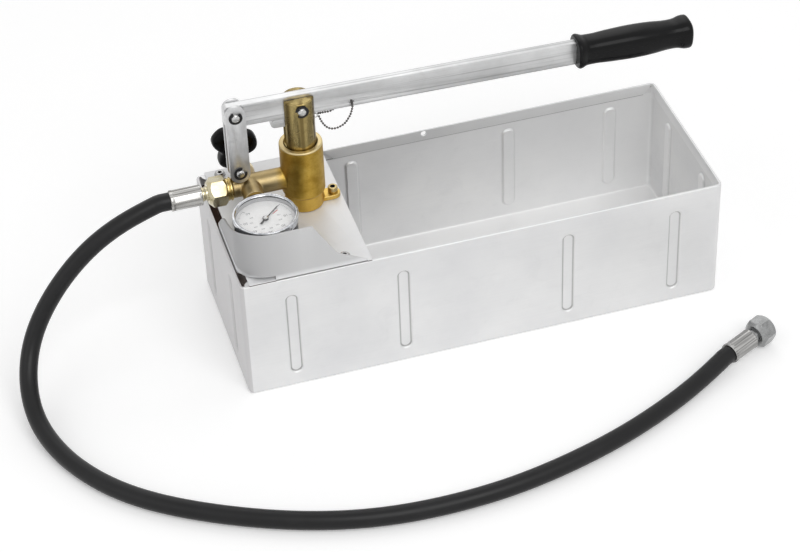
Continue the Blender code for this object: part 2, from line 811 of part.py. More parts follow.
def make_plate():
    half_y = TANK_WIDTH / 2
    outline = [(PLATE_LEFT, -half_y), (PLATE_RIGHT, -half_y), (PLATE_RIGHT, half_y), (PLATE_LEFT, half_y)]
    plate = prism("cover_plate", outline, PLATE_BASE, PLATE_TOP, STEEL)
    places = guard_path()
    top, foot = guard_heights(places)
    inner = []
    for k, here in enumerate(places):
        before = Vector(places[max(k - 1, 0)])
        after = Vector(places[min(k + 1, len(places) - 1)])
        run = (after - before).normalized()
        normal = Vector((run.y, -run.x))
        inner.append(Vector(here) + normal * PLATE_SHEET)
    relief = PLATE_LEFT + GUARD_RELIEF
    stations = []
    for k, (x, y) in enumerate(places):
        stations.append((k, foot[k], 0.0))
        if y <= -half_y + GAP and abs(x - relief) < GAP:
            # The free edge starts in a step here
            stations.append((k, GUARD_FREE_EDGE, -GAP))
    points, columns = [], []
    for k, low, shift in stations:
        x, y = places[k]
        a = len(points)
        points += [
            (x + shift, y, PLATE_TOP + low),
            (x + shift, y, PLATE_TOP + top[k]),
            (inner[k].x + shift, inner[k].y, PLATE_TOP + top[k]),
            (inner[k].x + shift, inner[k].y, PLATE_TOP + low),
        ]
        columns.append((a, a + 1, a + 2, a + 3))
    faces = [columns[0], columns[-1][::-1]]
    for first, second in zip(columns, columns[1:]):
        for k in range(4):
            j = (k + 1) % 4
            faces.append((first[k], second[k], second[j], first[j]))
    guard = add("guard", points, faces)
    join(plate, [guard])
    cuts = []
    for x, y in screw_places():
        cuts.append(rod(
            "hole", PLATE_SCREW_RADIUS + GAP, PLATE_BASE - PLATE_SHEET, PLATE_TOP + PLATE_SHEET,
            at=(x, y, 0), sides=ROUND_TINY,
        ))
    cuts.append(rod(
        "hole", SUCTION_THREAD + GAP, PLATE_BASE - PLATE_SHEET, PLATE_TOP + PLATE_SHEET,
        at=(PUMP_X, PUMP_Y, 0),
    ))
    for x in foot_places():
        cuts.append(rod(
            "hole", BODY_SCREW_RADIUS + GAP, PLATE_BASE - PLATE_SHEET, PLATE_TOP + PLATE_SHEET,
            at=(x, PUMP_Y, 0), sides=ROUND_SMALL,
        ))
    cut(plate, cuts)
    return smooth(plate, 30.0)


def foot_places():
    return (PUMP_X - FOOT_REACH, PUMP_X + FOOT_REACH)


def screw(name, radius, head, head_height, length, socket, look, at, dome):
    """A cap screw with its head's underside at the given place, driven by a hexagon socket."""
    top = head - head_height / 2 if dome else head - GAP
    side = head_height * (dome_side_share if dome else flat_side_share)
    profile = [(0, -length), (radius - GAP, -length), (radius, -length + GAP), (radius, 0), (head, 0),
               (head, side), (top, head_height), (0, head_height)]
    body = lathe(name, profile, look, at, sides=ROUND_SMALL)
    hole = prism("socket", hexagon(2 * socket), head_height / 2, 2 * head_height, at=at)
    return smooth(cut(body, [hole]), 40.0)


def make_fixings():
    names = (
        "plate_screw_front_left", "plate_screw_rear_left", "plate_screw_front_right",
        "plate_screw_rear_right",
    )
    for name, (x, y) in zip(names, screw_places()):
        screw(name, PLATE_SCREW_RADIUS, PLATE_SCREW_HEAD, PLATE_SCREW_HEAD_HEIGHT, PLATE_SCREW_LENGTH,
              HEX_SOCKET / 2, BRIGHT, (x, y, PLATE_TOP + GAP), True)
    for name, x in zip(("body_screw_left", "body_screw_right"), foot_places()):
        screw(name, BODY_SCREW_RADIUS, BODY_SCREW_HEAD, BODY_SCREW_HEAD_HEIGHT,
              FOOT_THICKNESS + PLATE_SHEET + SHEET, BODY_SCREW_SOCKET, BRIGHT,
              (x, PUMP_Y, BODY_BASE + FOOT_THICKNESS + GAP), False)


def make_body():
    at = (PUMP_X, PUMP_Y, BODY_BASE)
    profile = [
        (0, 0), (BASE_RADIUS, 0), (BASE_RADIUS, BASE_HEIGHT), (BODY_RADIUS, BASE_HEIGHT + BODY_CHAMFER),
        (BODY_RADIUS, BODY_HEIGHT - BODY_CHAMFER),
        (BODY_RADIUS - BODY_CHAMFER / 3, BODY_HEIGHT - BODY_CHAMFER / 3),
        (BODY_RADIUS - BODY_CHAMFER, BODY_HEIGHT), (0, BODY_HEIGHT),
    ]
    body = lathe("pump_body", profile, BRASS, at)
    inside = BODY_RADIUS / 2
    arm = [
        (0, inside), (ARM_RADIUS, inside), (ARM_RADIUS, ARM_REACH),
        (NECK_RADIUS, ARM_REACH + (ARM_RADIUS - NECK_RADIUS)),
        (NECK_RADIUS, ARM_REACH + NECK_LENGTH), (0, ARM_REACH + NECK_LENGTH),
    ]
    parts = [lathe("arm", arm, None, (PUMP_X, PUMP_Y, ARM_Z), "-x")]
    parts.append(rod(
        "gauge_boss", GAUGE_BOSS_RADIUS, 0, GAUGE_BOSS_REACH, at=(CROSS_X, PUMP_Y, ARM_Z), axis="-y",
        edge=BODY_CHAMFER / 2, turn=math.pi / ROUND,
    ))
    parts.append(rod(
        "valve_boss", VALVE_BOSS_RADIUS, 0, VALVE_BOSS_REACH, at=(CROSS_X, PUMP_Y, ARM_Z), axis="y",
        edge=BODY_CHAMFER / 2, turn=math.pi / ROUND,
    ))
    for x in foot_places():
        outline = arc((x, PUMP_Y), FOOT_WIDTH / 2, 90, 270 if x < PUMP_X else -90, HALF_STEPS)
        outline += [(PUMP_X, PUMP_Y - FOOT_WIDTH / 2), (PUMP_X, PUMP_Y + FOOT_WIDTH / 2)]
        parts.append(prism("foot", outline, BODY_BASE + GAP / 2, BODY_BASE + FOOT_THICKNESS))
    pin_up = LINK_PIN_Z - ARM_Z
    lug = [(-LUG_WIDTH / 2, 0), (LUG_WIDTH / 2, 0)] + arc((0, pin_up), LUG_WIDTH / 2, 0, 180, END_STEPS)
    parts.append(prism(
        "lug", lug, -LUG_THICKNESS / 2, LUG_THICKNESS / 2, at=(LINK_X, PUMP_Y, ARM_Z), axis="-y",
    ))
    join(body, parts)
    seal = BODY_HEIGHT - SEAL_BELOW_TOP
    bore = lathe("bore", [
        (0, -BORE_FLOOR), (SUCTION_THREAD + GAP, -BORE_FLOOR), (SUCTION_THREAD + GAP, SUCTION_SOCKET_DEPTH),
        (PORT_RADIUS, SUCTION_SOCKET_DEPTH), (PORT_RADIUS, BORE_FLOOR), (BORE_RADIUS, BORE_FLOOR),
        (BORE_RADIUS, seal - SEAL_HEIGHT - GAP),
        (BORE_RADIUS + SEAL_DEPTH, seal - SEAL_HEIGHT - GAP), (BORE_RADIUS + SEAL_DEPTH, seal + GAP),
        (BORE_RADIUS, seal + GAP), (BORE_RADIUS, 2 * BODY_HEIGHT), (0, 2 * BODY_HEIGHT),
    ], None, at)
    neck_end = ARM_REACH + NECK_LENGTH
    outlet = lathe("outlet", [
        (0, BORE_RADIUS / 2), (PORT_RADIUS, BORE_RADIUS / 2), (PORT_RADIUS, neck_end - SOCKET_DEPTH),
        (SOCKET_RADIUS, neck_end - SOCKET_DEPTH),
        (SOCKET_RADIUS, 2 * neck_end), (0, 2 * neck_end),
    ], None, (PUMP_X, PUMP_Y, ARM_Z), "-x", ROUND_SMALL, math.pi / ROUND)
    cross = lathe("cross", [
        (0, -2 * GAUGE_BOSS_REACH), (SOCKET_RADIUS, -2 * GAUGE_BOSS_REACH),
        (SOCKET_RADIUS, SOCKET_DEPTH - GAUGE_BOSS_REACH),
        (CROSS_PORT_RADIUS, SOCKET_DEPTH - GAUGE_BOSS_REACH),
        (CROSS_PORT_RADIUS, VALVE_BOSS_REACH - SOCKET_DEPTH),
        (SOCKET_RADIUS, VALVE_BOSS_REACH - SOCKET_DEPTH), (SOCKET_RADIUS, 2 * VALVE_BOSS_REACH),
        (0, 2 * VALVE_BOSS_REACH),
    ], None, (CROSS_X, PUMP_Y, ARM_Z), "y", ROUND_SMALL, math.pi / ROUND_SMALL)
    cuts = [bore, outlet, cross]
    cuts.append(rod(
        "pin", PIN_RADIUS + GAP, -LUG_THICKNESS, LUG_THICKNESS, at=(LINK_X, PUMP_Y, LINK_PIN_Z), axis="y",
        sides=ROUND_SMALL,
    ))
    for x in foot_places():
        cuts.append(rod(
            "screw", BODY_SCREW_RADIUS + GAP, -FOOT_THICKNESS, 2 * FOOT_THICKNESS,
            at=(x, PUMP_Y, BODY_BASE), sides=ROUND_SMALL,
        ))
    cut(body, cuts)
    return smooth(body, 35.0)


def make_seal():
    inner = PISTON_RADIUS + GAP / 2
    outer = BORE_RADIUS + SEAL_DEPTH - GAP
    high = BODY_HEIGHT - SEAL_BELOW_TOP
    low = high - SEAL_HEIGHT
    lathe(
        "piston_seal", [(inner, low + GAP), (outer, low), (outer, high), (inner, high - GAP)], SEAL_BLACK,
        (PUMP_X, PUMP_Y, BODY_BASE),
    )


def make_piston():
    at = (PUMP_X, PUMP_Y, BODY_BASE)
    low = BORE_FLOOR + GAP + GAP
    high = LEVER_AXIS_HEIGHT + EAR_ABOVE_AXIS
    piston = rod("piston", PISTON_RADIUS, low, high, TURNED_BRASS, at, sides=ROUND, edge=EAR_CHAMFER)
    reach = 2 * PISTON_RADIUS
    slot_low = LEVER_AXIS_HEIGHT - SLOT_BELOW_AXIS
    slot = box(
        "slot", (PUMP_X - reach, PUMP_Y - SLOT_WIDTH / 2, BODY_BASE + slot_low),
        (PUMP_X + reach, PUMP_Y + SLOT_WIDTH / 2, BODY_BASE + 2 * high),
    )
    pin = rod(
        "pin", PIN_RADIUS + GAP, -reach, reach, at=(PUMP_X, PUMP_Y, LEVER_Z), axis="y", sides=ROUND_SMALL,
    )
    return smooth(cut(piston, [slot, pin]), 35.0)


def pin_and_clips(name, at, half, clip_names, turn):
    """A pin along Y with a groove at each end, and the clip that sits in each groove."""
    inner = half + GAP
    outer = inner + CLIP_THICKNESS + GAP
    end = outer + PIN_STAND_OUT
    rim = PIN_STAND_OUT / 3
    side = [
        (PIN_RADIUS, inner - GAP / 2), (CLIP_SEAT, inner - GAP / 2), (CLIP_SEAT, outer),
        (PIN_RADIUS, outer), (PIN_RADIUS, end - rim), (PIN_RADIUS - rim, end), (0, end),
    ]
    profile = [(r, -h) for r, h in side[::-1]] + side
    lathe(name, profile, BRIGHT, at, "y", ROUND_SMALL)
    bore = CLIP_SEAT + GAP
    for clip, way in zip(clip_names, (-1, 1)):
        sweep = 360 - CLIP_OPENING
        start = turn + CLIP_OPENING / 2
        steps = ROUND_CLIP
        outline = arc((0, 0), CLIP_RADIUS, start, start + sweep, steps)
        outline += arc((0, 0), bore, start + sweep, start, steps)
        points, count = [], steps + 1
        y0 = at[1] + way * (inner + GAP / 4)
        y1 = y0 + way * CLIP_THICKNESS
        for y in (y0, y1):
            points += [(at[0] + x, y, at[2] + z) for x, z in outline]
        total = 2 * count
        faces = []
        for k in range(steps):
            a, b = k, total - 1 - k
            faces.append((a, a + 1, b - 1, b))
            faces.append((a + total, b + total, b - 1 + total, a + 1 + total))
        for k in range(total):
            j = (k + 1) % total
            faces.append((k, j, j + total, k + total))
        smooth(add(clip, points, faces, BLACK_OXIDE), 40.0)


def make_links():
    for name, side in (("link_front", -1), ("link_rear", 1)):
        high = LINK_TOP_Z - LINK_PIN_Z + LINK_OVERRUN
        outline = capsule(-LINK_FOOT_OVERRUN, high, LINK_WIDTH / 2, END_STEPS)
        near = SLOT_WIDTH / 2 + GAP / 2
        plate = prism(name, outline, 0, LINK_THICKNESS, LINK_STEEL, axis="-y", edge=GAP)
        y = PUMP_Y + (-near if side < 0 else near + LINK_THICKNESS)
        move(plate, Matrix.Translation((LINK_X, y, LINK_PIN_Z)))
        holes = [
            rod(
                "hole", PIN_RADIUS + GAP, -2 * SLOT_WIDTH, 2 * SLOT_WIDTH, at=(LINK_X, PUMP_Y, z),
                axis="y", sides=ROUND_SMALL,
            )
            for z in (LINK_PIN_Z, LINK_TOP_Z)
        ]
        smooth(cut(plate, holes), 35.0)
    half = SLOT_WIDTH / 2 + GAP / 2 + LINK_THICKNESS
    pin_and_clips(
        "link_pin_top", (LINK_X, PUMP_Y, LINK_TOP_Z), half, ("clip_link_top_front", "clip_link_top_rear"),
        80,
    )
    pin_and_clips(
        "link_pin_foot", (LINK_X, PUMP_Y, LINK_PIN_Z), half,
        ("clip_link_foot_front", "clip_link_foot_rear"), 40,
    )
    pin_and_clips(
        "piston_pin", (PUMP_X, PUMP_Y, LEVER_Z), PISTON_RADIUS, ("clip_piston_front", "clip_piston_rear"),
        200,
    )


def tilt():
    """The lever's resting tilt about the piston pin."""
    centre = Vector((PUMP_X, PUMP_Y, LEVER_Z))
    return Matrix.Translation(centre) @ Matrix.Rotation(math.radians(LEVER_TILT), 4, "Y")


def make_lever():
    half = LEVER_DEPTH / 2
    left = -LINK_FROM_AXIS / math.cos(math.radians(LEVER_TILT)) - LEVER_TAIL
    right = GRIP_START + GRIP_LENGTH - GRIP_WALL_END - GAP
    shoulder = GRIP_START - 2 * GAP
    tang = TANG_DEPTH / 2
    outline = (
        arc((left + LEVER_CORNER, half - LEVER_CORNER), LEVER_CORNER, 180, 90, CORNER_STEPS)
        + [
            (shoulder, half), (shoulder, tang), (right, tang), (right, -tang), (shoulder, -tang),
            (shoulder, -half),
        ]
        + arc((left + LEVER_CORNER, -half + LEVER_CORNER), LEVER_CORNER, 270, 180, CORNER_STEPS)
    )
    upright = Matrix.Rotation(math.pi / 2, 4, "X")
    lever = prism("lever", outline, -LEVER_THICKNESS / 2, LEVER_THICKNESS / 2, ALLOY, edge=2 * GAP)
    move(lever, upright)
    reach = LEVER_THICKNESS
    holes = [
        rod(
            "hole", PIN_RADIUS + LINK_PLAY, -reach, reach, at=(left + LEVER_TAIL, 0, LINK_PIN_ABOVE_BAR),
            axis="y", sides=ROUND_SMALL,
        ),
        rod("hole", PIN_RADIUS + GAP, -reach, reach, axis="y", sides=ROUND_SMALL),
        rod(
            "hole", CHAIN_HOLE_RADIUS, -reach, reach,
            at=(CHAIN_HOLE_FROM_AXIS, 0, -half + CHAIN_HOLE_ABOVE_EDGE), axis="y", sides=ROUND_TINY,
        ),
    ]
    move(smooth(cut(lever, holes), 35.0), tilt())

    profile = [(0, 0)] + [(GRIP_RADIUS * r, GRIP_LENGTH * share) for share, r in grip_shares]
    profile.append((0, GRIP_LENGTH))
    grip = lathe("grip", profile, BLACK_PLASTIC, (GRIP_START, 0, 0), "x", ROUND_GRIP)
    pocket_start = GRIP_START - GRIP_LENGTH * pocket_overrun_share
    pocket = box("pocket", (pocket_start, -LEVER_THICKNESS / 2 - GAP, -tang - GAP),
                 (GRIP_START + GRIP_LENGTH - GRIP_WALL_END, LEVER_THICKNESS / 2 + GAP, tang + GAP))
    move(smooth(cut(grip, [pocket]), 40.0), tilt())


def make_lock():
    half = LEVER_DEPTH / 2
    middle = -half - LOCK_BELOW_LEVER - LOCK_DEPTH / 2
    r = LOCK_DEPTH / 2
    left = -LOCK_LEFT_OF_AXIS
    right = left + LOCK_LENGTH
    corner = r / 2
    outline = (
        arc((left + r, middle), r, 270, 90, HALF_STEPS)
        + arc((right - corner, middle + r - corner), corner, 90, 0, CORNER_STEPS)
        + arc((right - corner, middle - r + corner), corner, 0, -90, CORNER_STEPS)
    )
    bar = prism("lock_bar", outline, -LOCK_THICKNESS / 2, LOCK_THICKNESS / 2, ALLOY, edge=2 * GAP)
    move(bar, Matrix.Rotation(math.pi / 2, 4, "X"))
    hole_x = right - LOCK_HOLE_FROM_END
    hole = rod(
        "hole", LOCK_HOLE_RADIUS, -LOCK_THICKNESS, LOCK_THICKNESS, at=(hole_x, 0, middle), axis="y",
        sides=ROUND_TINY,
    )
    move(smooth(cut(bar, [hole]), 35.0), tilt())
    # The ring hangs against the outer side of its hole
    ring_x = hole_x + RING_RADIUS + RING_WIRE + GAP - LOCK_HOLE_RADIUS
    ring_points, faces = [], []
    around, section = ROUND_RING, ROUND_TINY // 2
    for k in range(around):
        angle = 2 * math.pi * k / around
        for s in range(section):
            bend = 2 * math.pi * s / section
            reach = RING_RADIUS + RING_WIRE * math.cos(bend)
            ring_points.append(
                (
                    ring_x + reach * math.cos(angle), reach * math.sin(angle),
                    middle + RING_WIRE * math.sin(bend),
                )
            )
    for k in range(around):
        for s in range(section):
            a, b = k * section + s, k * section + (s + 1) % section
            c, d = ((k + 1) % around) * section + (s + 1) % section, ((k + 1) % around) * section + s
            faces.append((a, b, c, d))
    move(smooth(add("lock_ring", ring_points, faces, BRIGHT), 60.0), tilt())
    frame = tilt()
    route = [frame @ Vector(p) for p in CHAIN_ROUTE]
    tube("lock_chain", spline_points(route, 3 * CHAIN_RADIUS), CHAIN_RADIUS, BRIGHT, 1)


def make_gauge():
    y = PUMP_Y - GAUGE_FROM_PUMP
    floor = ARM_Z - GAUGE_FLOOR_TO_STEM
    at = (CROSS_X, y, floor)
    well = GAUGE_DEPTH - GAUGE_WELL
    edge = 2 * GAUGE_WALL
    case = lathe("gauge_case", [
        (0, 0), (GAUGE_RADIUS - edge, 0), (GAUGE_RADIUS, edge), (GAUGE_RADIUS, GAUGE_DEPTH),
        (GAUGE_RADIUS - GAUGE_WALL, GAUGE_DEPTH), (GAUGE_RADIUS - GAUGE_WALL, well), (0, well),
    ], CHROME, at, sides=ROUND_DIAL)
    stem_hole = rod(
        "hole", STEM_NECK + GAP, 0, 2 * GAUGE_RADIUS,
        at=(CROSS_X, y + GAUGE_RADIUS * stem_hole_share, ARM_Z), axis="y", sides=ROUND_SMALL,
    )
    arbor = rod("hole", ARBOR_RADIUS + GAP, well - 2 * GAUGE_WALL, GAUGE_DEPTH, at=at, sides=ROUND_TINY)
    smooth(cut(case, [stem_hole, arbor]), 35.0)
    dial_low = well + GAP
    dial = lathe("gauge_dial", [
        (ARBOR_RADIUS + GAP, dial_low), (GAUGE_RADIUS - GAUGE_WALL - GAP, dial_low),
        (GAUGE_RADIUS - GAUGE_WALL - GAP, dial_low + DIAL_THICKNESS),
        (ARBOR_RADIUS + GAP, dial_low + DIAL_THICKNESS),
    ], DIAL_WHITE, at, sides=ROUND_DIAL)
    lens_low = GAUGE_DEPTH + GAP
    rod("gauge_lens", GAUGE_RADIUS - GAP, lens_low, lens_low + LENS_THICKNESS, LENS, at, sides=ROUND_DIAL)
    top = lens_low + LENS_THICKNESS + GAP
    foot = top + BEZEL_TOP - BEZEL_HEIGHT
    inner = GAUGE_RADIUS + GAP
    rim = BEZEL_TOP / 2
    lathe("gauge_bezel", [
        (inner, foot), (BEZEL_RADIUS - rim, foot), (BEZEL_RADIUS, foot + rim),
        (BEZEL_RADIUS, top + BEZEL_TOP - 2 * rim),
        (BEZEL_RADIUS - rim, top + BEZEL_TOP - rim / 3), (BEZEL_RADIUS - 2 * rim, top + BEZEL_TOP),
        (GAUGE_RADIUS - BEZEL_LIP + rim, top + BEZEL_TOP), (GAUGE_RADIUS - BEZEL_LIP, top), (inner, top),
    ], CHROME, at, sides=ROUND_DIAL)
    needle_low = dial_low + DIAL_THICKNESS + 3 * GAP
    shape = [
        (-NEEDLE_TAIL, NEEDLE_WIDTH), (-NEEDLE_TAIL, -NEEDLE_WIDTH), (-NEEDLE_HUB / 2, -NEEDLE_WIDTH / 2),
        (NEEDLE_REACH, -NEEDLE_WIDTH / 6), (NEEDLE_REACH, NEEDLE_WIDTH / 6), (-NEEDLE_HUB / 2, NEEDLE_WIDTH / 2),
    ]
    needle = prism("gauge_needle", shape, needle_low, needle_low + NEEDLE_THICKNESS, NEEDLE_BLACK)
    hub = lathe("hub", [
        (0, well - GAUGE_WALL), (ARBOR_RADIUS, well - GAUGE_WALL), (ARBOR_RADIUS, needle_low - GAP),
        (NEEDLE_HUB, needle_low - GAP), (NEEDLE_HUB, needle_low + 3 * NEEDLE_THICKNESS),
        (NEEDLE_HUB / 2, needle_low + 4 * NEEDLE_THICKNESS), (0, needle_low + 4 * NEEDLE_THICKNESS),
    ], None, sides=ROUND_TINY)
    join(needle, [hub])
    # The dial's foot points at the arm, and the needle stands at nought, a half quarter turn on from there
    smooth(
        move(needle, Matrix.Translation(at) @ Matrix.Rotation(math.radians(90 - NEEDLE_ANGLE), 4, "Z")),
        35.0,
    )
    boss_face = GAUGE_FROM_PUMP - GAUGE_BOSS_REACH
    thread_end = boss_face + SOCKET_DEPTH - GAP
    square_start = GAUGE_RADIUS + GAP
    stem = lathe("gauge_stem", [
        (0, GAUGE_RADIUS * stem_start_share), (STEM_NECK, GAUGE_RADIUS * stem_start_share),
        (STEM_NECK, square_start + GAP), (STEM_THREAD, square_start + GAP),
        (STEM_THREAD, thread_end - GAP), (STEM_THREAD - GAP, thread_end), (0, thread_end),
    ], TURNED_BRASS, (CROSS_X, y, ARM_Z), "y", ROUND_SMALL)
    half = STEM_SQUARE / 2
    collar = box(
        "square", (CROSS_X - half, y + square_start, ARM_Z - half),
        (CROSS_X + half, y + boss_face - GAP, ARM_Z + half),
    )
    hollow = rod(
        "hole", PORT_RADIUS, square_start, 2 * thread_end, at=(CROSS_X, y, ARM_Z), axis="y",
        sides=ROUND_SMALL,
    )
    join(stem, [collar])
    smooth(cut(stem, [hollow]), 35.0)


def knob_outline(scale):
    """Three round lobes with shorter valleys between them."""
    mean = (KNOB_RADIUS + KNOB_VALLEY) / 2
    swing = (KNOB_RADIUS - KNOB_VALLEY) / 2
    outline = []
    for k in range(ROUND_KNOB):
        angle = 2 * math.pi * k / ROUND_KNOB
        lobe = math.cos(3 * (angle - math.radians(KNOB_TURN)))
        radius = (mean + swing * (1 - (1 - lobe) ** 2 / 4)) * scale
        outline.append((radius * math.cos(angle), radius * math.sin(angle)))
    return outline


def make_valve():
    at = (CROSS_X, PUMP_Y, ARM_Z)
    face = VALVE_BOSS_REACH + GAP
    hexed = face + BONNET_HEX_LENGTH
    bonnet = prism("valve_bonnet", hexagon(BONNET_HEX), face, hexed, TURNED_BRASS, at, "y", GAP)
    inner_end = VALVE_BOSS_REACH - SOCKET_DEPTH + GAP
    body = lathe("barrel", [
        (0, inner_end), (SOCKET_RADIUS - GAP, inner_end), (SOCKET_RADIUS - GAP, face + GAP),
        (BONNET_RADIUS, face + GAP),
        (BONNET_RADIUS, hexed + BONNET_LENGTH - GAP), (BONNET_RADIUS - GAP, hexed + BONNET_LENGTH),
        (0, hexed + BONNET_LENGTH),
    ], None, at, "y")
    join(bonnet, [body])
    bore = rod("hole", SPINDLE_RADIUS + GAP, 0, 2 * hexed + BONNET_LENGTH, at=at, axis="y", sides=ROUND_SMALL)
    cut(bonnet, [bore])
    smooth(bonnet, 35.0)
    tip = inner_end + GAP
    knob_foot = hexed + BONNET_LENGTH + SPINDLE_OUT - KNOB_BORE_DEPTH
    spindle_end = hexed + BONNET_LENGTH + SPINDLE_OUT
    lathe("valve_spindle", [
        (0, tip), (PORT_RADIUS / 2, tip + PORT_RADIUS / 2), (SPINDLE_RADIUS, tip + 2 * PORT_RADIUS),
        (SPINDLE_RADIUS, spindle_end - GAP), (0, spindle_end - GAP),
    ], BRIGHT, at, "y", ROUND_SMALL)
    start = knob_foot + KNOB_HUB_LENGTH
    levels = [(start + KNOB_THICKNESS * share, scale) for share, scale in knob_shares]
    points, count = [], ROUND_KNOB
    for height, scale in levels:
        points += [(x, y, height) for x, y in knob_outline(scale)]
    faces = [tuple(range(count))[::-1], tuple(range(count * (len(levels) - 1), count * len(levels)))]
    for level in range(len(levels) - 1):
        for k in range(count):
            j = (k + 1) % count
            a, b = level * count, (level + 1) * count
            faces.append((a + k, a + j, b + j, b + k))
    knob = place(add("valve_knob", points, faces, BLACK_PLASTIC), at, "y")
    hub = rod(
        "hub", KNOB_HUB_RADIUS, knob_foot, start + KNOB_THICKNESS / 2, at=at, axis="y", sides=ROUND_NUT,
        edge=2 * GAP,
    )
    join(knob, [hub])
    cut(knob, [rod("hole", SPINDLE_RADIUS + GAP, 0, spindle_end + GAP, at=at, axis="y", sides=ROUND_SMALL)])
    smooth(knob, 40.0)


def union_nut(name, matrix, look):
    """A hexagon nut along Z with its threaded mouth at nought and its lip at the far end."""
    blank = prism(name, hexagon(NUT_HEX, NUT_TURN), 0, NUT_LENGTH, look)
    corner = NUT_HEX / math.sqrt(3)
    limit = NUT_HEX / 2
    turned = lathe("turned", [
        (0, -GAP), (limit, -GAP), (limit, 0), (corner + GAP, NUT_CHAMFER),
        (corner + GAP, NUT_LENGTH - NUT_CHAMFER), (limit, NUT_LENGTH), (limit, NUT_LENGTH + GAP),
        (0, NUT_LENGTH + GAP),
    ], None, sides=ROUND_NUT)
    combine(blank, [turned], "INTERSECT")
    cavity = NUT_LENGTH - NUT_LIP
    bore = lathe("bore", [
        (0, -NUT_LENGTH), (SPIGOT_RADIUS + GAP, -NUT_LENGTH), (SPIGOT_RADIUS + GAP, cavity),
        (TAIL_NECK + GAP, cavity), (TAIL_NECK + GAP, 2 * NUT_LENGTH), (0, 2 * NUT_LENGTH),
    ], None, sides=ROUND_NUT)
    cut(blank, [bore])
    return smooth(move(blank, matrix), 30.0)


def hose_tail(name, matrix):
    """The spigot that the nut holds, along Z from its flange to its end in the ferrule."""
    cavity = NUT_LENGTH - NUT_LIP
    start = cavity - GAP - TAIL_FLANGE_LENGTH
    neck_end = NUT_LENGTH + TAIL_NECK_LENGTH
    end = neck_end + FERRULE_LENGTH - 2 * FERRULE_RIM
    tail = lathe(name, [
        (TAIL_BORE, start), (TAIL_FLANGE - GAP, start), (TAIL_FLANGE, start + GAP),
        (TAIL_FLANGE, cavity - GAP), (TAIL_NECK, cavity - GAP),
        (TAIL_NECK, neck_end - GAP), (TAIL_SPIGOT, neck_end - GAP), (TAIL_SPIGOT, end), (TAIL_BORE, end),
    ], BRIGHT, sides=ROUND_NUT)
    move(tail, matrix)


def ferrule(name, matrix):
    """A sleeve that a crimping die has pressed into flats, with a round rim left at the hose."""
    start = NUT_LENGTH + TAIL_NECK_LENGTH
    end = start + FERRULE_LENGTH
    bore = TAIL_SPIGOT + GAP
    flat = math.cos(math.pi / FERRULE_FACETS)
    profile = [
        (bore, start), (FERRULE_RADIUS - FERRULE_RIM, start), (FERRULE_RADIUS, start + FERRULE_RIM),
        (FERRULE_RADIUS, start + 2 * FERRULE_RIM, flat),
        (FERRULE_RADIUS, end - 3 * FERRULE_RIM, flat), (FERRULE_RADIUS, end - 2 * FERRULE_RIM),
        (FERRULE_RADIUS, end - FERRULE_RIM / 2), (FERRULE_RADIUS - FERRULE_RIM / 2, end), (bore, end),
    ]
    move(lathe(name, profile, BRIGHT, sides=2 * FERRULE_FACETS), matrix)


def make_outlet():
    at = (PUMP_X, PUMP_Y, ARM_Z)
    neck = PUMP_X - NECK_END
    start = neck - SOCKET_DEPTH + GAP
    collar = neck + GAP
    spigot = collar + COLLAR_LENGTH
    rim = 2 * GAP
    lathe("outlet_nipple", [
        (PORT_RADIUS, start), (SOCKET_RADIUS - GAP, start), (SOCKET_RADIUS - GAP, collar),
        (COLLAR_RADIUS - rim, collar), (COLLAR_RADIUS, collar + rim),
        (COLLAR_RADIUS, spigot - rim), (COLLAR_RADIUS - rim, spigot), (SPIGOT_RADIUS, spigot),
        (SPIGOT_RADIUS, spigot + SPIGOT_LENGTH), (PORT_RADIUS, spigot + SPIGOT_LENGTH),
    ], TURNED_BRASS, at, "-x", ROUND_GRIP)
    near = Matrix.Translation((PUMP_X - spigot - GAP, PUMP_Y, ARM_Z)) @ facing("-x")
    union_nut("union_nut", near, TURNED_BRASS)
    hose_tail("hose_tail", near)
    ferrule("hose_ferrule", near)
    heading = math.radians(FAR_HEADING)
    toward = Vector((math.cos(heading), math.sin(heading), 0))
    centre = Vector((FAR_NUT_X, FAR_NUT_Y, FAR_NUT_HEIGHT))
    # The far fittings point back along the hose, so their mouth faces outwards
    basis = Matrix((Vector((-toward.y, toward.x, 0)), Vector((0, 0, -1)), -toward)).transposed().to_4x4()
    flat = Matrix.Rotation(math.radians(FAR_NUT_TURN - NUT_TURN), 4, "Z")
    far = Matrix.Translation(centre + toward * (NUT_LENGTH / 2)) @ basis @ flat
    union_nut("swivel_nut", far, BRIGHT)
    hose_tail("hose_tail_far", far)
    ferrule("hose_ferrule_far", far)
    length = NUT_LENGTH + TAIL_NECK_LENGTH + FERRULE_LENGTH + GAP
    begin = near @ Vector((0, 0, length))
    finish = far @ Vector((0, 0, length))
    # A short straight run leaves each ferrule
    lead = HOSE_RADIUS
    route = [begin - Vector((lead, 0, 0))] + [Vector(p) for p in HOSE_ROUTE] + [finish - toward * lead]
    tube("hose", [begin] + spline_points(route, HOSE_SPACING) + [finish], HOSE_RADIUS, RUBBER, 2)


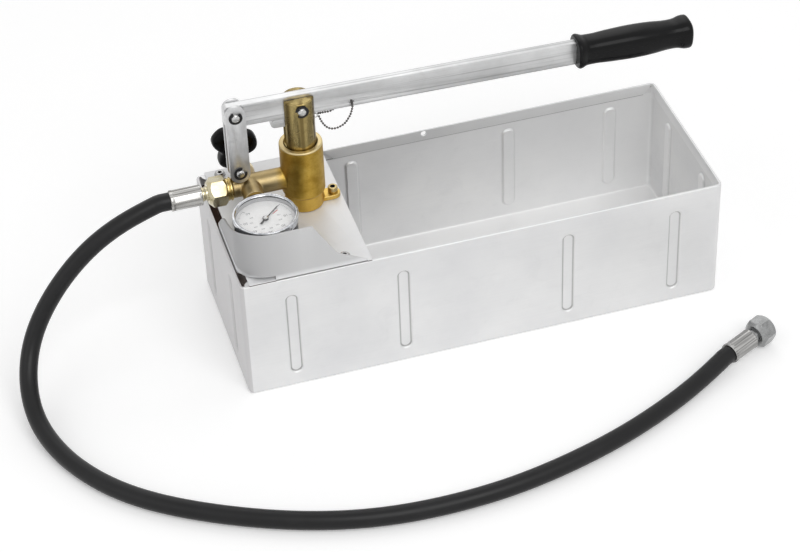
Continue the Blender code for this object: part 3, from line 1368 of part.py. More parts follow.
def make_suction():
    axis = (PUMP_X, PUMP_Y, 0)
    under = PLATE_BASE - GAP
    flange_low = under - SUCTION_FLANGE_HEIGHT
    body_low = flange_low - SUCTION_BODY_HEIGHT
    thread_top = BODY_BASE + SUCTION_SOCKET_DEPTH - GAP
    chamber_top = body_low + SEAT_HEIGHT + BALL_CHAMBER_HEIGHT
    lathe("suction_fitting", [
        (PORT_RADIUS, thread_top), (SUCTION_THREAD, thread_top), (SUCTION_THREAD, under),
        (SUCTION_FLANGE, under), (SUCTION_FLANGE, flange_low),
        (SUCTION_BODY, flange_low), (SUCTION_BODY, body_low), (BALL_CHAMBER, body_low),
        (BALL_CHAMBER, chamber_top), (PORT_RADIUS, chamber_top + PORT_RADIUS),
    ], TURNED_BRASS, axis)
    seat_top = body_low + SEAT_HEIGHT
    barb_low = body_low - GAP - BARB_LENGTH
    plug = BALL_CHAMBER - GAP
    mouth = PORT_RADIUS * seat_mouth_share
    lathe("suction_seat", [
        (PORT_RADIUS, seat_top - PORT_RADIUS / 2), (mouth, seat_top), (plug, seat_top),
        (plug, body_low - GAP), (BARB_RADIUS, body_low - GAP),
        (BARB_RADIUS, barb_low), (PORT_RADIUS, barb_low),
    ], TURNED_BRASS, axis, sides=ROUND_NUT)
    # The ball rests in the seat's mouth
    rise = math.sqrt(BALL_RADIUS**2 - mouth**2)
    centre = seat_top + rise + GAP
    profile = [(0, centre - BALL_RADIUS)] + [
        (
            BALL_RADIUS * math.cos(math.radians(a)), centre + BALL_RADIUS * math.sin(math.radians(a)),
        ) for a in (-60, -30, 0, 30, 60)
    ] + [(0, centre + BALL_RADIUS)]
    lathe("suction_ball", profile, BRIGHT, axis, sides=ROUND_TINY)
    tube_top = body_low - 2 * GAP
    strainer_low = SHEET + STRAINER_OFF_FLOOR
    tube_low = strainer_low + STRAINER_WALL + STRAINER_HEIGHT / 2
    inner = TUBE_RADIUS - TUBE_WALL
    lathe(
        "suction_tube",
        [(inner, tube_low), (TUBE_RADIUS, tube_low), (TUBE_RADIUS, tube_top), (inner, tube_top)],
        GREY_PLASTIC, axis, sides=ROUND_NUT,
    )
    strainer_top = strainer_low + STRAINER_HEIGHT
    grip_radius = TUBE_RADIUS + GAP
    strainer = lathe("strainer", [
        (0, strainer_low), (STRAINER_RADIUS, strainer_low), (STRAINER_RADIUS, strainer_top - STRAINER_WALL),
        (grip_radius + STRAINER_WALL, strainer_top),
        (grip_radius, strainer_top), (grip_radius, strainer_top - 2 * STRAINER_WALL),
        (STRAINER_RADIUS - STRAINER_WALL, strainer_top - 3 * STRAINER_WALL),
        (STRAINER_RADIUS - STRAINER_WALL, strainer_low + STRAINER_WALL), (0, strainer_low + STRAINER_WALL),
    ], GREY_PLASTIC, axis, sides=ROUND_NUT)
    slots = []
    for k in range(STRAINER_SLOTS // 2):
        angle = math.pi * k / (STRAINER_SLOTS // 2)
        slot = box("slot", (
            -2 * STRAINER_RADIUS, -STRAINER_SLOT_WIDTH / 2, strainer_low + 2 * STRAINER_WALL,
        ),
                   (2 * STRAINER_RADIUS, STRAINER_SLOT_WIDTH / 2, strainer_top - 5 * STRAINER_WALL))
        slots.append(move(slot, Matrix.Translation((PUMP_X, PUMP_Y, 0)) @ Matrix.Rotation(angle, 4, "Z")))
    smooth(cut(strainer, slots), 35.0)


def main():
    clear_scene()
    make_tank()
    make_plate()
    make_fixings()
    make_body()
    make_seal()
    make_piston()
    make_links()
    make_lever()
    make_lock()
    make_gauge()
    make_valve()
    make_outlet()
    make_suction()


main()
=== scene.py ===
"""Looks of the hydrostatic test pump: finishes, finer shapes, the hose, the bead chain, and the studio.

Lengths are in metres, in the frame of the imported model: +X along the tank towards the grip, +Z up.
"""

import json
from math import atan2, copysign, cos, degrees, hypot, pi, radians, sin, sqrt, tan

import bmesh
import bpy
import numpy as np
from mathutils import Matrix, Vector


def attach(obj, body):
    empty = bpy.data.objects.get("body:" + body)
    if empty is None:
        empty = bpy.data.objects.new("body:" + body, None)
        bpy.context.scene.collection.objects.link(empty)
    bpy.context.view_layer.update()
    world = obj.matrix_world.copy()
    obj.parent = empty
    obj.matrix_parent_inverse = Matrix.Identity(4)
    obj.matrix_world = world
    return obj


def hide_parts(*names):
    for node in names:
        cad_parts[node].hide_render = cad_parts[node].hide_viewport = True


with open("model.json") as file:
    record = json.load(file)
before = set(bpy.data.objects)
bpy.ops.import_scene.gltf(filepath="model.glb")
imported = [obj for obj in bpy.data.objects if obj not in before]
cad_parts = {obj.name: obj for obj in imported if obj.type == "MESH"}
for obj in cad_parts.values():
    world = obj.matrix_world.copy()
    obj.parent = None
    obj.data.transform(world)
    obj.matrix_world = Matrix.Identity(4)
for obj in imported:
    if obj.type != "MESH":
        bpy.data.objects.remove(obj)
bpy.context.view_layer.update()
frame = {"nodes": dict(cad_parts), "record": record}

# Camera: where it stands, which way it looks, and its lens and sensor in millimetres
CAMERA_AT = (-0.5741, -1.8728, 1.6443)
CAMERA_LOOK = (0.20201, 0.74173, -0.63955)
CAMERA_UP = (0.20894, 0.60534, 0.76805)
CAMERA_LENS = 109.8
CAMERA_SENSOR = 36.0

# Clearance that the model keeps between its pieces
GAP = 0.0003

# Tank sheet
SHEET = 0.0012
CORNER_RADIUS = 0.006
HEM_HEIGHT = 0.012
HEM_FOLD = 0.0014
FLANGE_WIDTH = 0.018
BEAD_WIDTH = 0.014
BEAD_DEPTH = 0.0022
BEAD_FOOT = 0.016
BEAD_BELOW_RIM = 0.021
BEAD_INNER_X = 0.086
BEAD_OUTER_X = 0.200
BEAD_END_Y = 0.046
HANG_HOLE_X = -0.007
HANG_HOLE_RADIUS = 0.0030

# Cover plate and its splash guard
PLATE_SHEET = 0.0020
PLATE_LENGTH = 0.1235
PLATE_INSET = 0.0095
GUARD_HEIGHT = 0.055
GUARD_RADIUS = 0.032
GUARD_OFF_WALL = 0.0035
GUARD_SIDE_RUN = 0.070
GUARD_FREE_EDGE = 0.0045
GUARD_RELIEF = 0.027
GUARD_SLOPE_RUN = 0.0235
GUARD_TAIL_RUN = 0.029
GUARD_TAIL_HEIGHT = 0.016
GUARD_RIGHT_INSET = 0.005
BEND_RADIUS = 0.0030
SCREW_FROM_LEFT = 0.0145
SCREW_FROM_RIGHT = 0.0245
SCREW_FROM_FRONT = 0.0125
SCREW_FROM_REAR = 0.0090
PLATE_SCREW_RADIUS = 0.002
PLATE_SCREW_HEAD = 0.0056
PLATE_SCREW_HEAD_HEIGHT = 0.0030
PLATE_SCREW_LENGTH = 0.010
HEX_SOCKET = 0.0040
guard_rim_shares = [
    (0.0, 1.0), (0.07, 0.985), (0.15, 0.945), (0.225, 0.90), (0.40, 0.742), (0.56, 0.624), (0.725, 0.516),
    (1.0, 0.04),
]
guard_foot_shares = [
    (0.0, 1.0), (0.05, 0.76), (0.13, 0.22), (0.19, 0.0), (0.31, -1.4), (0.373, -2.07), (0.45, -2.3),
    (1.0, -2.3),
]

# Pump body
BODY_HEIGHT = 0.0747
BODY_RADIUS = 0.02175
BODY_CHAMFER = 0.0012
BASE_RADIUS = 0.0195
BASE_HEIGHT = 0.0165
BORE_RADIUS = 0.0161
BORE_FLOOR = 0.010
ARM_HEIGHT = 0.0344
ARM_RADIUS = 0.0112
ARM_REACH = 0.0625
NECK_RADIUS = 0.0100
NECK_LENGTH = 0.0100
CROSS_FROM_AXIS = 0.0550
BOSS_RADIUS = 0.0105
GAUGE_BOSS_REACH = 0.0260
VALVE_BOSS_REACH = 0.0210
SOCKET_RADIUS = 0.0066
SOCKET_DEPTH = 0.0110
FOOT_WIDTH = 0.0150
FOOT_THICKNESS = 0.0050
FOOT_REACH = 0.0295
BODY_SCREW_RADIUS = 0.0030
BODY_SCREW_HEAD = 0.0050
BODY_SCREW_HEAD_HEIGHT = 0.0060
BODY_SCREW_SOCKET = 0.0025
LUG_WIDTH = 0.0160
LUG_THICKNESS = 0.0080

# Linkage, piston and lever
LINK_FROM_AXIS = 0.0640
LINK_PIN_HEIGHT = 0.0564
LINK_WIDTH = 0.0200
LINK_THICKNESS = 0.0035
LINK_OVERRUN = 0.0030
LINK_FOOT_OVERRUN = 0.0012
LINK_PIN_ABOVE_BAR = 0.0013
PIN_RADIUS = 0.0040
PIN_STAND_OUT = 0.0022
CLIP_RADIUS = 0.0068
CLIP_THICKNESS = 0.0010
CLIP_SEAT = 0.0032
CLIP_OPENING = 62.0
PISTON_RADIUS = 0.01575
LEVER_AXIS_HEIGHT = 0.1207
EAR_ABOVE_AXIS = 0.0085
SLOT_WIDTH = 0.0090
SLOT_BELOW_AXIS = 0.0465
EAR_CHAMFER = 0.0012
LEVER_TILT = 1.1
LEVER_DEPTH = 0.0250
LEVER_THICKNESS = 0.0080
LEVER_TAIL = 0.0100
LEVER_CORNER = 0.0040
LINK_PLAY = 0.0040
GRIP_START = 0.2860
GRIP_LENGTH = 0.1225
GRIP_RADIUS = 0.0163
GRIP_SECTION = 0.74
GRIP_FLATTER = 0.955
CHAIN_HOLE_FROM_AXIS = 0.0530
CHAIN_HOLE_RADIUS = 0.0024
CHAIN_HOLE_ABOVE_EDGE = 0.0057
LOCK_LENGTH = 0.0445
LOCK_DEPTH = 0.0095
LOCK_THICKNESS = 0.0060
LOCK_BELOW_LEVER = 0.0008
LOCK_LEFT_OF_AXIS = 0.0285
LOCK_HOLE_RADIUS = 0.0022
LOCK_HOLE_FROM_END = 0.0034
RING_RADIUS = 0.0039
RING_WIRE = 0.0006
grip_shares = [
    (0.0, 0.97), (0.012, 1.04), (0.035, 1.03), (0.07, 0.93), (0.12, 0.905), (0.30, 0.96), (0.50, 1.0),
    (0.68, 0.95),
    (0.78, 0.885), (0.87, 0.90), (0.925, 1.0), (0.955, 1.01), (0.985, 0.93), (1.0, 0.70),
]

SEAL_BELOW_TOP = 0.0100
SEAL_HEIGHT = 0.0050
SEAL_DEPTH = 0.0030
PORT_RADIUS = 0.0030

# Gauge
GAUGE_FROM_PUMP = 0.0680
GAUGE_RADIUS = 0.0310
GAUGE_DEPTH = 0.0245
GAUGE_FLOOR_TO_STEM = 0.0135
GAUGE_WELL = 0.0050
GAUGE_WALL = 0.0013
BEZEL_RADIUS = 0.0322
BEZEL_HEIGHT = 0.0070
BEZEL_LIP = 0.0025
BEZEL_TOP = 0.0014
LENS_THICKNESS = 0.0016
DIAL_THICKNESS = 0.0008
NEEDLE_REACH = 0.0225
NEEDLE_TAIL = 0.0090
NEEDLE_WIDTH = 0.0013
NEEDLE_HUB = 0.0030
NEEDLE_THICKNESS = 0.0006
NEEDLE_ANGLE = 45.0
ARBOR_RADIUS = 0.0010
STEM_SQUARE = 0.0140
STEM_THREAD = 0.0063
STEM_NECK = 0.0045
STEM_EDGE = 0.0008
SCALE_SWEEP = 270.0
SCALE_TOP = 60

# Release valve
BONNET_HEX = 0.0190
BONNET_HEX_LENGTH = 0.0090
BONNET_RADIUS = 0.0070
BONNET_LENGTH = 0.0200
BONNET_CHAMFER = 0.0010
BONNET_GROOVE = 0.0008
SPINDLE_RADIUS = 0.0040
SPINDLE_OUT = 0.0160
KNOB_RADIUS = 0.0250
KNOB_VALLEY = 0.0155
SEEN_VALLEY = 0.0138
KNOB_THICKNESS = 0.0140
KNOB_HUB_RADIUS = 0.0105
KNOB_HUB_LENGTH = 0.0070
KNOB_BORE_DEPTH = 0.0120
KNOB_TURN = -12.0
KNOB_LOW = -0.16

# Outlet and hose fittings
SPIGOT_RADIUS = 0.0085
SPIGOT_LENGTH = 0.0115
COLLAR_RADIUS = 0.0118
COLLAR_LENGTH = 0.0060
NUT_HEX = 0.0270
NUT_LENGTH = 0.0185
NUT_LIP = 0.0035
NUT_CHAMFER = 0.0032
NUT_SHOULDER = 0.0050
NUT_LIP_RADIUS = 0.0108
NUT_TURN = -15.0
NUT_EDGE = 0.0005
TAIL_FLANGE = 0.0083
TAIL_FLANGE_LENGTH = 0.0022
TAIL_BORE = 0.0030
TAIL_SPIGOT = 0.0045
TAIL_NECK = 0.0071
TAIL_NECK_LENGTH = 0.0060
FERRULE_RADIUS = 0.0108
FERRULE_LENGTH = 0.0320
FERRULE_RIM = 0.0010
FERRULE_FLATS = 10
FAR_NUT_X = 0.2590
FAR_NUT_Y = -0.1855
FAR_NUT_HEIGHT = 0.0150
FAR_HEADING = 27.0
FAR_NUT_TURN = 11.0

# Suction side
SUCTION_THREAD = 0.0087
SUCTION_SOCKET_DEPTH = 0.0070
SUCTION_FLANGE = 0.0140
SUCTION_FLANGE_HEIGHT = 0.0060
SUCTION_BODY = 0.0105
SUCTION_BODY_HEIGHT = 0.0220
BALL_CHAMBER = 0.0060
BALL_CHAMBER_HEIGHT = 0.0130
BALL_RADIUS = 0.0045
SEAT_HEIGHT = 0.0050
SEAT_MOUTH = 0.00375
BARB_RADIUS = 0.0045
BARB_LENGTH = 0.0100
TUBE_RADIUS = 0.0075
TUBE_WALL = 0.0022
STRAINER_RADIUS = 0.0130
STRAINER_HEIGHT = 0.0200
STRAINER_OFF_FLOOR = 0.0040
STRAINER_WALL = 0.0015
STRAINER_SLOTS = 6
STRAINER_SLOT_WIDTH = 0.0030

# Tank and pump places that follow
TANK_LENGTH = 0.500
TANK_WIDTH = 0.190
TANK_HEIGHT = 0.138
HALF_LENGTH = TANK_LENGTH / 2
HALF_WIDTH = TANK_WIDTH / 2
PUMP_X = -0.1555
PUMP_Y = 0.0150
PLATE_BASE = TANK_HEIGHT + GAP
PLATE_TOP = PLATE_BASE + PLATE_SHEET
PLATE_LEFT = -HALF_LENGTH + PLATE_INSET
PLATE_RIGHT = PLATE_LEFT + PLATE_LENGTH
BODY_BASE = PLATE_TOP + GAP
ARM_Z = BODY_BASE + ARM_HEIGHT
CROSS_X = PUMP_X - CROSS_FROM_AXIS
LINK_X = PUMP_X - LINK_FROM_AXIS
LINK_PIN_Z = BODY_BASE + LINK_PIN_HEIGHT
LEVER_Z = BODY_BASE + LEVER_AXIS_HEIGHT
LINK_TOP_Z = LEVER_Z + LINK_FROM_AXIS * tan(radians(LEVER_TILT)) + LINK_PIN_ABOVE_BAR
GAUGE_Y = PUMP_Y - GAUGE_FROM_PUMP
GAUGE_FLOOR = ARM_Z - GAUGE_FLOOR_TO_STEM
ARM_AT = (PUMP_X, PUMP_Y, ARM_Z)
CROSS_AT = (CROSS_X, PUMP_Y, ARM_Z)
BODY_AT = (PUMP_X, PUMP_Y, BODY_BASE)
LEVER_AT = (PUMP_X, PUMP_Y, LEVER_Z)

# Hose route, along its middle, from the near ferrule to the far one
HOSE_ROUTE = [
    (-0.3110, 0.0155, 0.1722),
    (-0.3345, 0.0125, 0.1660),
    (-0.3660, 0.0090, 0.1520),
    (-0.3895, 0.0045, 0.1355),
    (-0.4085, 0.0015, 0.1170),
    (-0.4245, -0.0010, 0.0970),
    (-0.4440, -0.0090, 0.0700),
    (-0.4565, -0.0240, 0.0460),
    (-0.4625, -0.0480, 0.0280),
    (-0.4620, -0.0800, 0.0155),
    (-0.4495, -0.1210, 0.0095),
    (-0.4330, -0.1549, 0.00875),
    (-0.4100, -0.1880, 0.00875),
    (-0.3783, -0.2183, 0.00875),
    (-0.3359, -0.2470, 0.00875),
    (-0.2849, -0.2740, 0.00875),
    (-0.2324, -0.2950, 0.00875),
    (-0.1776, -0.3085, 0.00875),
    (-0.1200, -0.3135, 0.00875),
    (-0.0596, -0.3110, 0.00875),
    (-0.0160, -0.3040, 0.00875),
    (0.0271, -0.2935, 0.00875),
    (0.0731, -0.2790, 0.00875),
    (0.1225, -0.2580, 0.00875),
    (0.1617, -0.2375, 0.00920),
    (0.1900, -0.2215, 0.01060),
]
HOSE_RADIUS = 0.00875
SEEN_HOSE_RADIUS = 0.0091

# Chain route, as places from the lever pin along the lever, across it and up
CHAIN_ROUTE = [
    (0.0204, -0.0015, -0.0195),
    (0.0225, -0.0034, -0.0250),
    (0.0265, -0.0046, -0.0310),
    (0.0310, -0.0056, -0.0336),
    (0.0360, -0.0062, -0.0338),
    (0.0410, -0.0066, -0.0320),
    (0.0450, -0.0068, -0.0292),
    (0.0482, -0.0068, -0.0250),
    (0.0508, -0.0066, -0.0205),
    (0.0526, -0.0064, -0.0150),
    (0.0533, -0.0062, -0.0105),
    (0.0531, -0.0050, -0.0072),
    (0.0530, 0.0000, -0.0068),
    (0.0531, 0.0050, -0.0072),
    (0.0524, 0.0063, -0.0105),
    (0.0465, 0.0064, -0.0155),
    (0.0410, 0.0061, -0.0178),
    (0.0375, 0.0056, -0.0190),
    (0.0330, 0.0050, -0.0203),
    (0.0280, 0.0044, -0.0199),
    (0.0235, 0.0030, -0.0189),
    (0.0206, 0.0015, -0.0178),
]
CHAIN_RADIUS = 0.00115


class Shader:
    """A material built node by node around one Principled shader, with the tone that it has so far."""

    def __init__(self, name, colour, metallic, roughness, **inputs):
        self.material = bpy.data.materials.new(name)
        self.material.use_nodes = True
        self.material.diffuse_color = (*colour, 1.0)
        self.tree = self.material.node_tree
        self.principled = self.tree.nodes["Principled BSDF"]
        self.feed(Base_Color=colour, Metallic=metallic, Roughness=roughness, **inputs)
        self.coordinates = self.node("TexCoord").outputs["Object"]
        self.tone = colour

    def put(self, value, socket):
        """Links an output to a socket, or sets it to a number, a vector or a colour."""
        if isinstance(value, bpy.types.NodeSocket):
            self.tree.links.new(value, socket)
        elif socket.type == "RGBA":
            socket.default_value = (*value, 1.0)
        else:
            socket.default_value = value

    def fill(self, node, inputs):
        for name, value in inputs.items():
            self.put(value, node.inputs[name.replace("_", " ")])

    def node(self, kind, **inputs):
        """A new node, with its inputs set or linked by name."""
        made = self.tree.nodes.new("ShaderNode" + kind)
        self.fill(made, inputs)
        return made

    def feed(self, **inputs):
        self.fill(self.principled, inputs)

    def coat(self, roughness, *bumps):
        """Feeds the tone, a roughness and bumps, and gives the material."""
        self.feed(Base_Color=self.tone, Roughness=roughness)
        for height in bumps:
            self.bump(*height)
        return self.material

    def noise(self, scale, detail=3.0, rough=0.55, stretch=(1, 1, 1), distortion=0.0, turn=(0, 0, 0)):
        """Noise over the piece's place; a low stretch makes streaks along that axis; turn is in degrees."""
        mapping = self.node("Mapping", Vector=self.coordinates)
        mapping.vector_type = "TEXTURE"
        turned = tuple(radians(angle) for angle in turn)
        self.fill(mapping, {"Rotation": turned, "Scale": tuple(1.0 / share for share in stretch)})
        texture = self.node("TexNoise", Vector=mapping.outputs["Vector"], Scale=scale, Detail=detail)
        self.fill(texture, {"Roughness": rough, "Distortion": distortion})
        return texture.outputs["Fac"]

    def spread(self, value, low=0.0, high=1.0, from_low=0.3, from_high=0.7):
        """Maps a value onto another range, clamped."""
        node = self.node(
            "MapRange", Value=value, From_Min=from_low, From_Max=from_high, To_Min=low, To_Max=high,
        )
        return node.outputs["Result"]

    def ramp(self, value, stops):
        node = self.node("ValToRGB", Fac=value)
        while len(node.color_ramp.elements) < len(stops):
            node.color_ramp.elements.new(0.5)
        for element, (place, colour) in zip(node.color_ramp.elements, stops):
            element.position = place
            element.color = (*colour, 1.0)
        return node.outputs["Color"]

    def mix(self, share, first, second):
        """Blends two colours by a share, each a colour or an output."""
        node = self.node("Mix")
        node.data_type = "RGBA"
        for value, socket in ((share, 0), (first, 6), (second, 7)):
            self.put(value, node.inputs[socket])
        return node.outputs[2]

    def tint(self, share, colour, weight=None):
        """Lays a colour over the tone so far, by a share and its weight."""
        if weight is not None:
            share = self.times(share, weight)
        self.tone = self.mix(share, self.tone, colour)

    def math(self, operation, first, second):
        node = self.node("Math")
        node.operation = operation
        node.use_clamp = True
        self.put(first, node.inputs[0])
        self.put(second, node.inputs[1])
        return node.outputs[0]

    def times(self, first, second):
        return self.math("MULTIPLY", first, second)

    def edges(self, low, high):
        """1 on outer edges and 0 elsewhere; the finishes lighten them as a painted highlight along with
        wear.
        """
        return self.spread(self.node("NewGeometry").outputs["Pointiness"], 0.0, 1.0, low, high)

    def creases(self, low=0.44, high=0.485):
        """1 in tight inner corners and 0 elsewhere; the finishes darken them as painted shade."""
        return self.spread(self.node("NewGeometry").outputs["Pointiness"], 1.0, 0.0, low, high)

    def place(self, axis):
        """The place along X, Y or Z, in the piece's own metres."""
        return self.node("SeparateXYZ", Vector=self.coordinates).outputs[axis]

    def along(self, axis, start, end):
        """0 at one place along X, Y or Z and 1 at another."""
        return self.spread(self.place(axis), 0.0, 1.0, start, end)

    def bump(self, value, depth, strength):
        normal = self.principled.inputs["Normal"]
        node = self.node("Bump", Strength=strength, Distance=depth, Height=value)
        if normal.links:
            self.put(normal.links[0].from_socket, node.inputs["Normal"])
        self.put(node.outputs["Normal"], normal)


# Places and widths of the lines that the finishes draw, most of them painted shade and one a painted sheen
EDGE_BLUR = 0.0004
LINE_BLUR = 0.0005
BRASS_BLUR = 0.001
BEAD_SHADE = 0.0015
HEM_SHADE = 0.0015
END_SHADE_WIDTH = 0.0040
MITRE_LINE = 0.0010
PLATE_SHADOW_TOP = 0.0013
ARM_SHEEN_FROM = 0.002
ARM_SHEEN_TO = 0.010
MOUTH_RING = 0.0022
STEP_SHADE_ABOVE = 0.0016
STEP_SHADE_BELOW = 0.0006


def brushed(name, colour, roughness, grain, variation, metallic, turn=(0, 0, 0), scratches=0.0):
    """Rolled or drawn metal with fine lines along the long axis of its grain."""
    shader = Shader(name, colour, metallic, roughness)
    lines = shader.noise(900.0, 2.0, 0.6, grain, turn=turn)
    cloud = shader.noise(18.0, 4.0, 0.6)
    smudge = shader.noise(95.0, 5.0, 0.65, distortion=0.5)
    darker = tuple(c * (1.0 - variation) for c in colour)
    lighter = tuple(min(1.0, c * (1.0 + variation / 2)) for c in colour)
    shader.tone = darker
    shader.tint(shader.spread(cloud), lighter)
    shader.tint(shader.spread(smudge, 0.0, 0.6, 0.5, 0.7), darker)
    shader.tint(shader.spread(lines, 0.0, 0.35), darker)
    if scratches:
        marks = shader.noise(
            430.0, 3.0, 0.6, tuple(share / 3 if share < 1 else share for share in grain), turn=turn,
        )
        shader.tint(shader.spread(marks, 0.0, scratches, 0.54, 0.66), tuple(c * 0.35 for c in colour))
    rough = shader.spread(lines, roughness - 0.05, roughness + 0.05)
    return shader.coat(shader.math("ADD", rough, shader.spread(smudge, 0.0, 0.07)), (lines, 0.00003, 0.25))


def stainless_sheet(name, dull, bright, side):
    """Rolled sheet with a soft grain, faint clouds and painted shade in the bead creases; inside and on the
    hem, painted light towards the right end; inside, a lighter floor as painted light and painted shade
    under the plate and under the hem; outside, painted shade on the left end and towards the right end.
    """
    shader = Shader(name, bright, 0.50, 0.46)
    lines = shader.noise(900.0, 2.0, 0.6, ALONG_X)
    cloud = shader.noise(9.0, 5.0, 0.55)
    smudge = shader.noise(42.0, 6.0, 0.65, distortion=0.6)
    shader.tone = dull
    shader.tint(shader.spread(cloud), bright)
    darker = tuple(0.9 * c for c in dull)
    shader.tint(shader.spread(smudge, 0.0, 0.25, 0.55, 0.75), darker)
    shader.tint(shader.spread(lines, 0.0, 0.08), darker)
    # Painted shade: the creases round each bead are darkened, faintly inside and strongly outside and on the
    # hem
    foot, head = BEAD_FOOT - BEAD_SHADE, TANK_HEIGHT - BEAD_BELOW_RIM + BEAD_SHADE
    pressed = shader.times(shader.along("Z", foot, foot + GAP), shader.along("Z", head, head - GAP))
    pressed = shader.times(pressed, shader.creases(0.462, 0.496))
    shader.tint(pressed, (0.27, 0.265, 0.26), 0.2 if side == "inside" else 0.8)
    if side != "outside":
        # Painted light: inside and on the hem, lighter from the middle towards the right end, stopping short
        # of the end wall
        far = HALF_LENGTH - 3 * SHEET
        painted_light = shader.times(shader.along("X", 0.0, far), shader.along("X", far + SHEET, far))
        shader.tint(painted_light, (0.99, 0.99, 0.988), 0.6)
    if side == "inside":
        # Painted light: the floor inside is set to the lighter tone
        shader.tint(shader.along("Z", 4 * SHEET, 2 * SHEET), (0.87, 0.87, 0.868))
        # Painted shade: the inside at the left end, under the plate, is darkened to brown
        end = shader.along("X", PLATE_LEFT + 3 * FLANGE_WIDTH, -HALF_LENGTH + FLANGE_WIDTH)
        shader.tint(end, (0.17, 0.105, 0.075))
        # Painted shadow: a dark line on the inside wall just below the hem's lower edge, stopping short of
        # the right corner
        shade = TANK_HEIGHT - HEM_HEIGHT - HEM_SHADE
        corner = HALF_LENGTH - HEM_HEIGHT
        under_hem_shadow = shader.along("Z", shade - 1.5 * EDGE_BLUR, shade)
        under_hem_shadow = shader.times(under_hem_shadow, shader.along("X", corner, corner - EDGE_BLUR))
        shader.tint(under_hem_shadow, (0.14, 0.14, 0.14), 0.8)
    elif side == "outside":
        # Painted shade: the left end's outside is darker
        end_shade_edge = -HALF_LENGTH + END_SHADE_WIDTH
        shader.tint(shader.along("X", end_shade_edge, end_shade_edge - EDGE_BLUR), (0.57, 0.56, 0.565), 0.75)
        # Painted shade: the outside is darker from the middle towards the right end
        right_end_shade = shader.along("X", 0.0, HALF_LENGTH)
        shader.tint(right_end_shade, (0.60, 0.60, 0.60), 0.25)
    if side == "hem":
        # On the hem faces, the wall past the hem's slanted end is lifted back to a lighter tone, out of the
        # hem's painted shade, and a painted shadow runs along that slanted edge
        slant = shader.math("SUBTRACT", shader.place("X"), shader.place("Z"))
        mitre = HALF_LENGTH - TANK_HEIGHT
        beyond = shader.spread(slant, 0.0, 1.0, mitre - EDGE_BLUR / 2, mitre + EDGE_BLUR / 2)
        line = mitre + MITRE_LINE
        line = shader.times(beyond, shader.spread(slant, 1.0, 0.0, line - EDGE_BLUR, line))
        shader.tint(beyond, (0.84, 0.84, 0.84))
        shader.tint(line, (0.14, 0.14, 0.14), 0.6)
    return shader.coat(
        shader.math("ADD", shader.spread(lines, 0.43, 0.48), shader.spread(smudge, 0.0, 0.06)),
        (lines, 0.00001, 0.1),
    )


def stainless_plate():
    """The cover's sheet: a fine even matt finish with faint finger marks; the upright guard painted darker,
    most at its left bend, as painted shade, and a painted shadow along the plate's lower front edge.
    """
    shader = Shader("stainless_plate", (0.80, 0.80, 0.80), 0.22, 0.50)
    grain = shader.noise(1500.0, 3.0, 0.6)
    cloud = shader.noise(26.0, 5.0, 0.6)
    shader.tone = (0.775, 0.78, 0.79)
    shader.tint(shader.spread(cloud), (0.83, 0.833, 0.84))
    # Painted shade: the upright guard is darker than the plate, and darkest at its left bend
    bend = shader.along("X", -HALF_LENGTH + GUARD_OFF_WALL, -HALF_LENGTH + 2 * GUARD_RADIUS)
    upright = shader.mix(bend, (0.40, 0.40, 0.405), (0.60, 0.60, 0.602))
    low, high = PLATE_TOP + BEND_RADIUS / 2, PLATE_TOP + 2 * BEND_RADIUS
    shader.tint(shader.along("Z", low, high), upright)
    # Painted shadow: a dark brown line along the plate's lower front edge, over the tank's rim
    low = shader.along("Z", PLATE_BASE + PLATE_SHADOW_TOP, PLATE_BASE + PLATE_SHADOW_TOP - LINE_BLUR)
    front = shader.along("Y", -HALF_WIDTH + BEND_RADIUS, -HALF_WIDTH + BEND_RADIUS * 0.8)
    shader.tint(shader.times(low, front), (0.05, 0.032, 0.022))
    return shader.coat(shader.spread(cloud, 0.44, 0.56), (grain, 0.00003, 0.2))


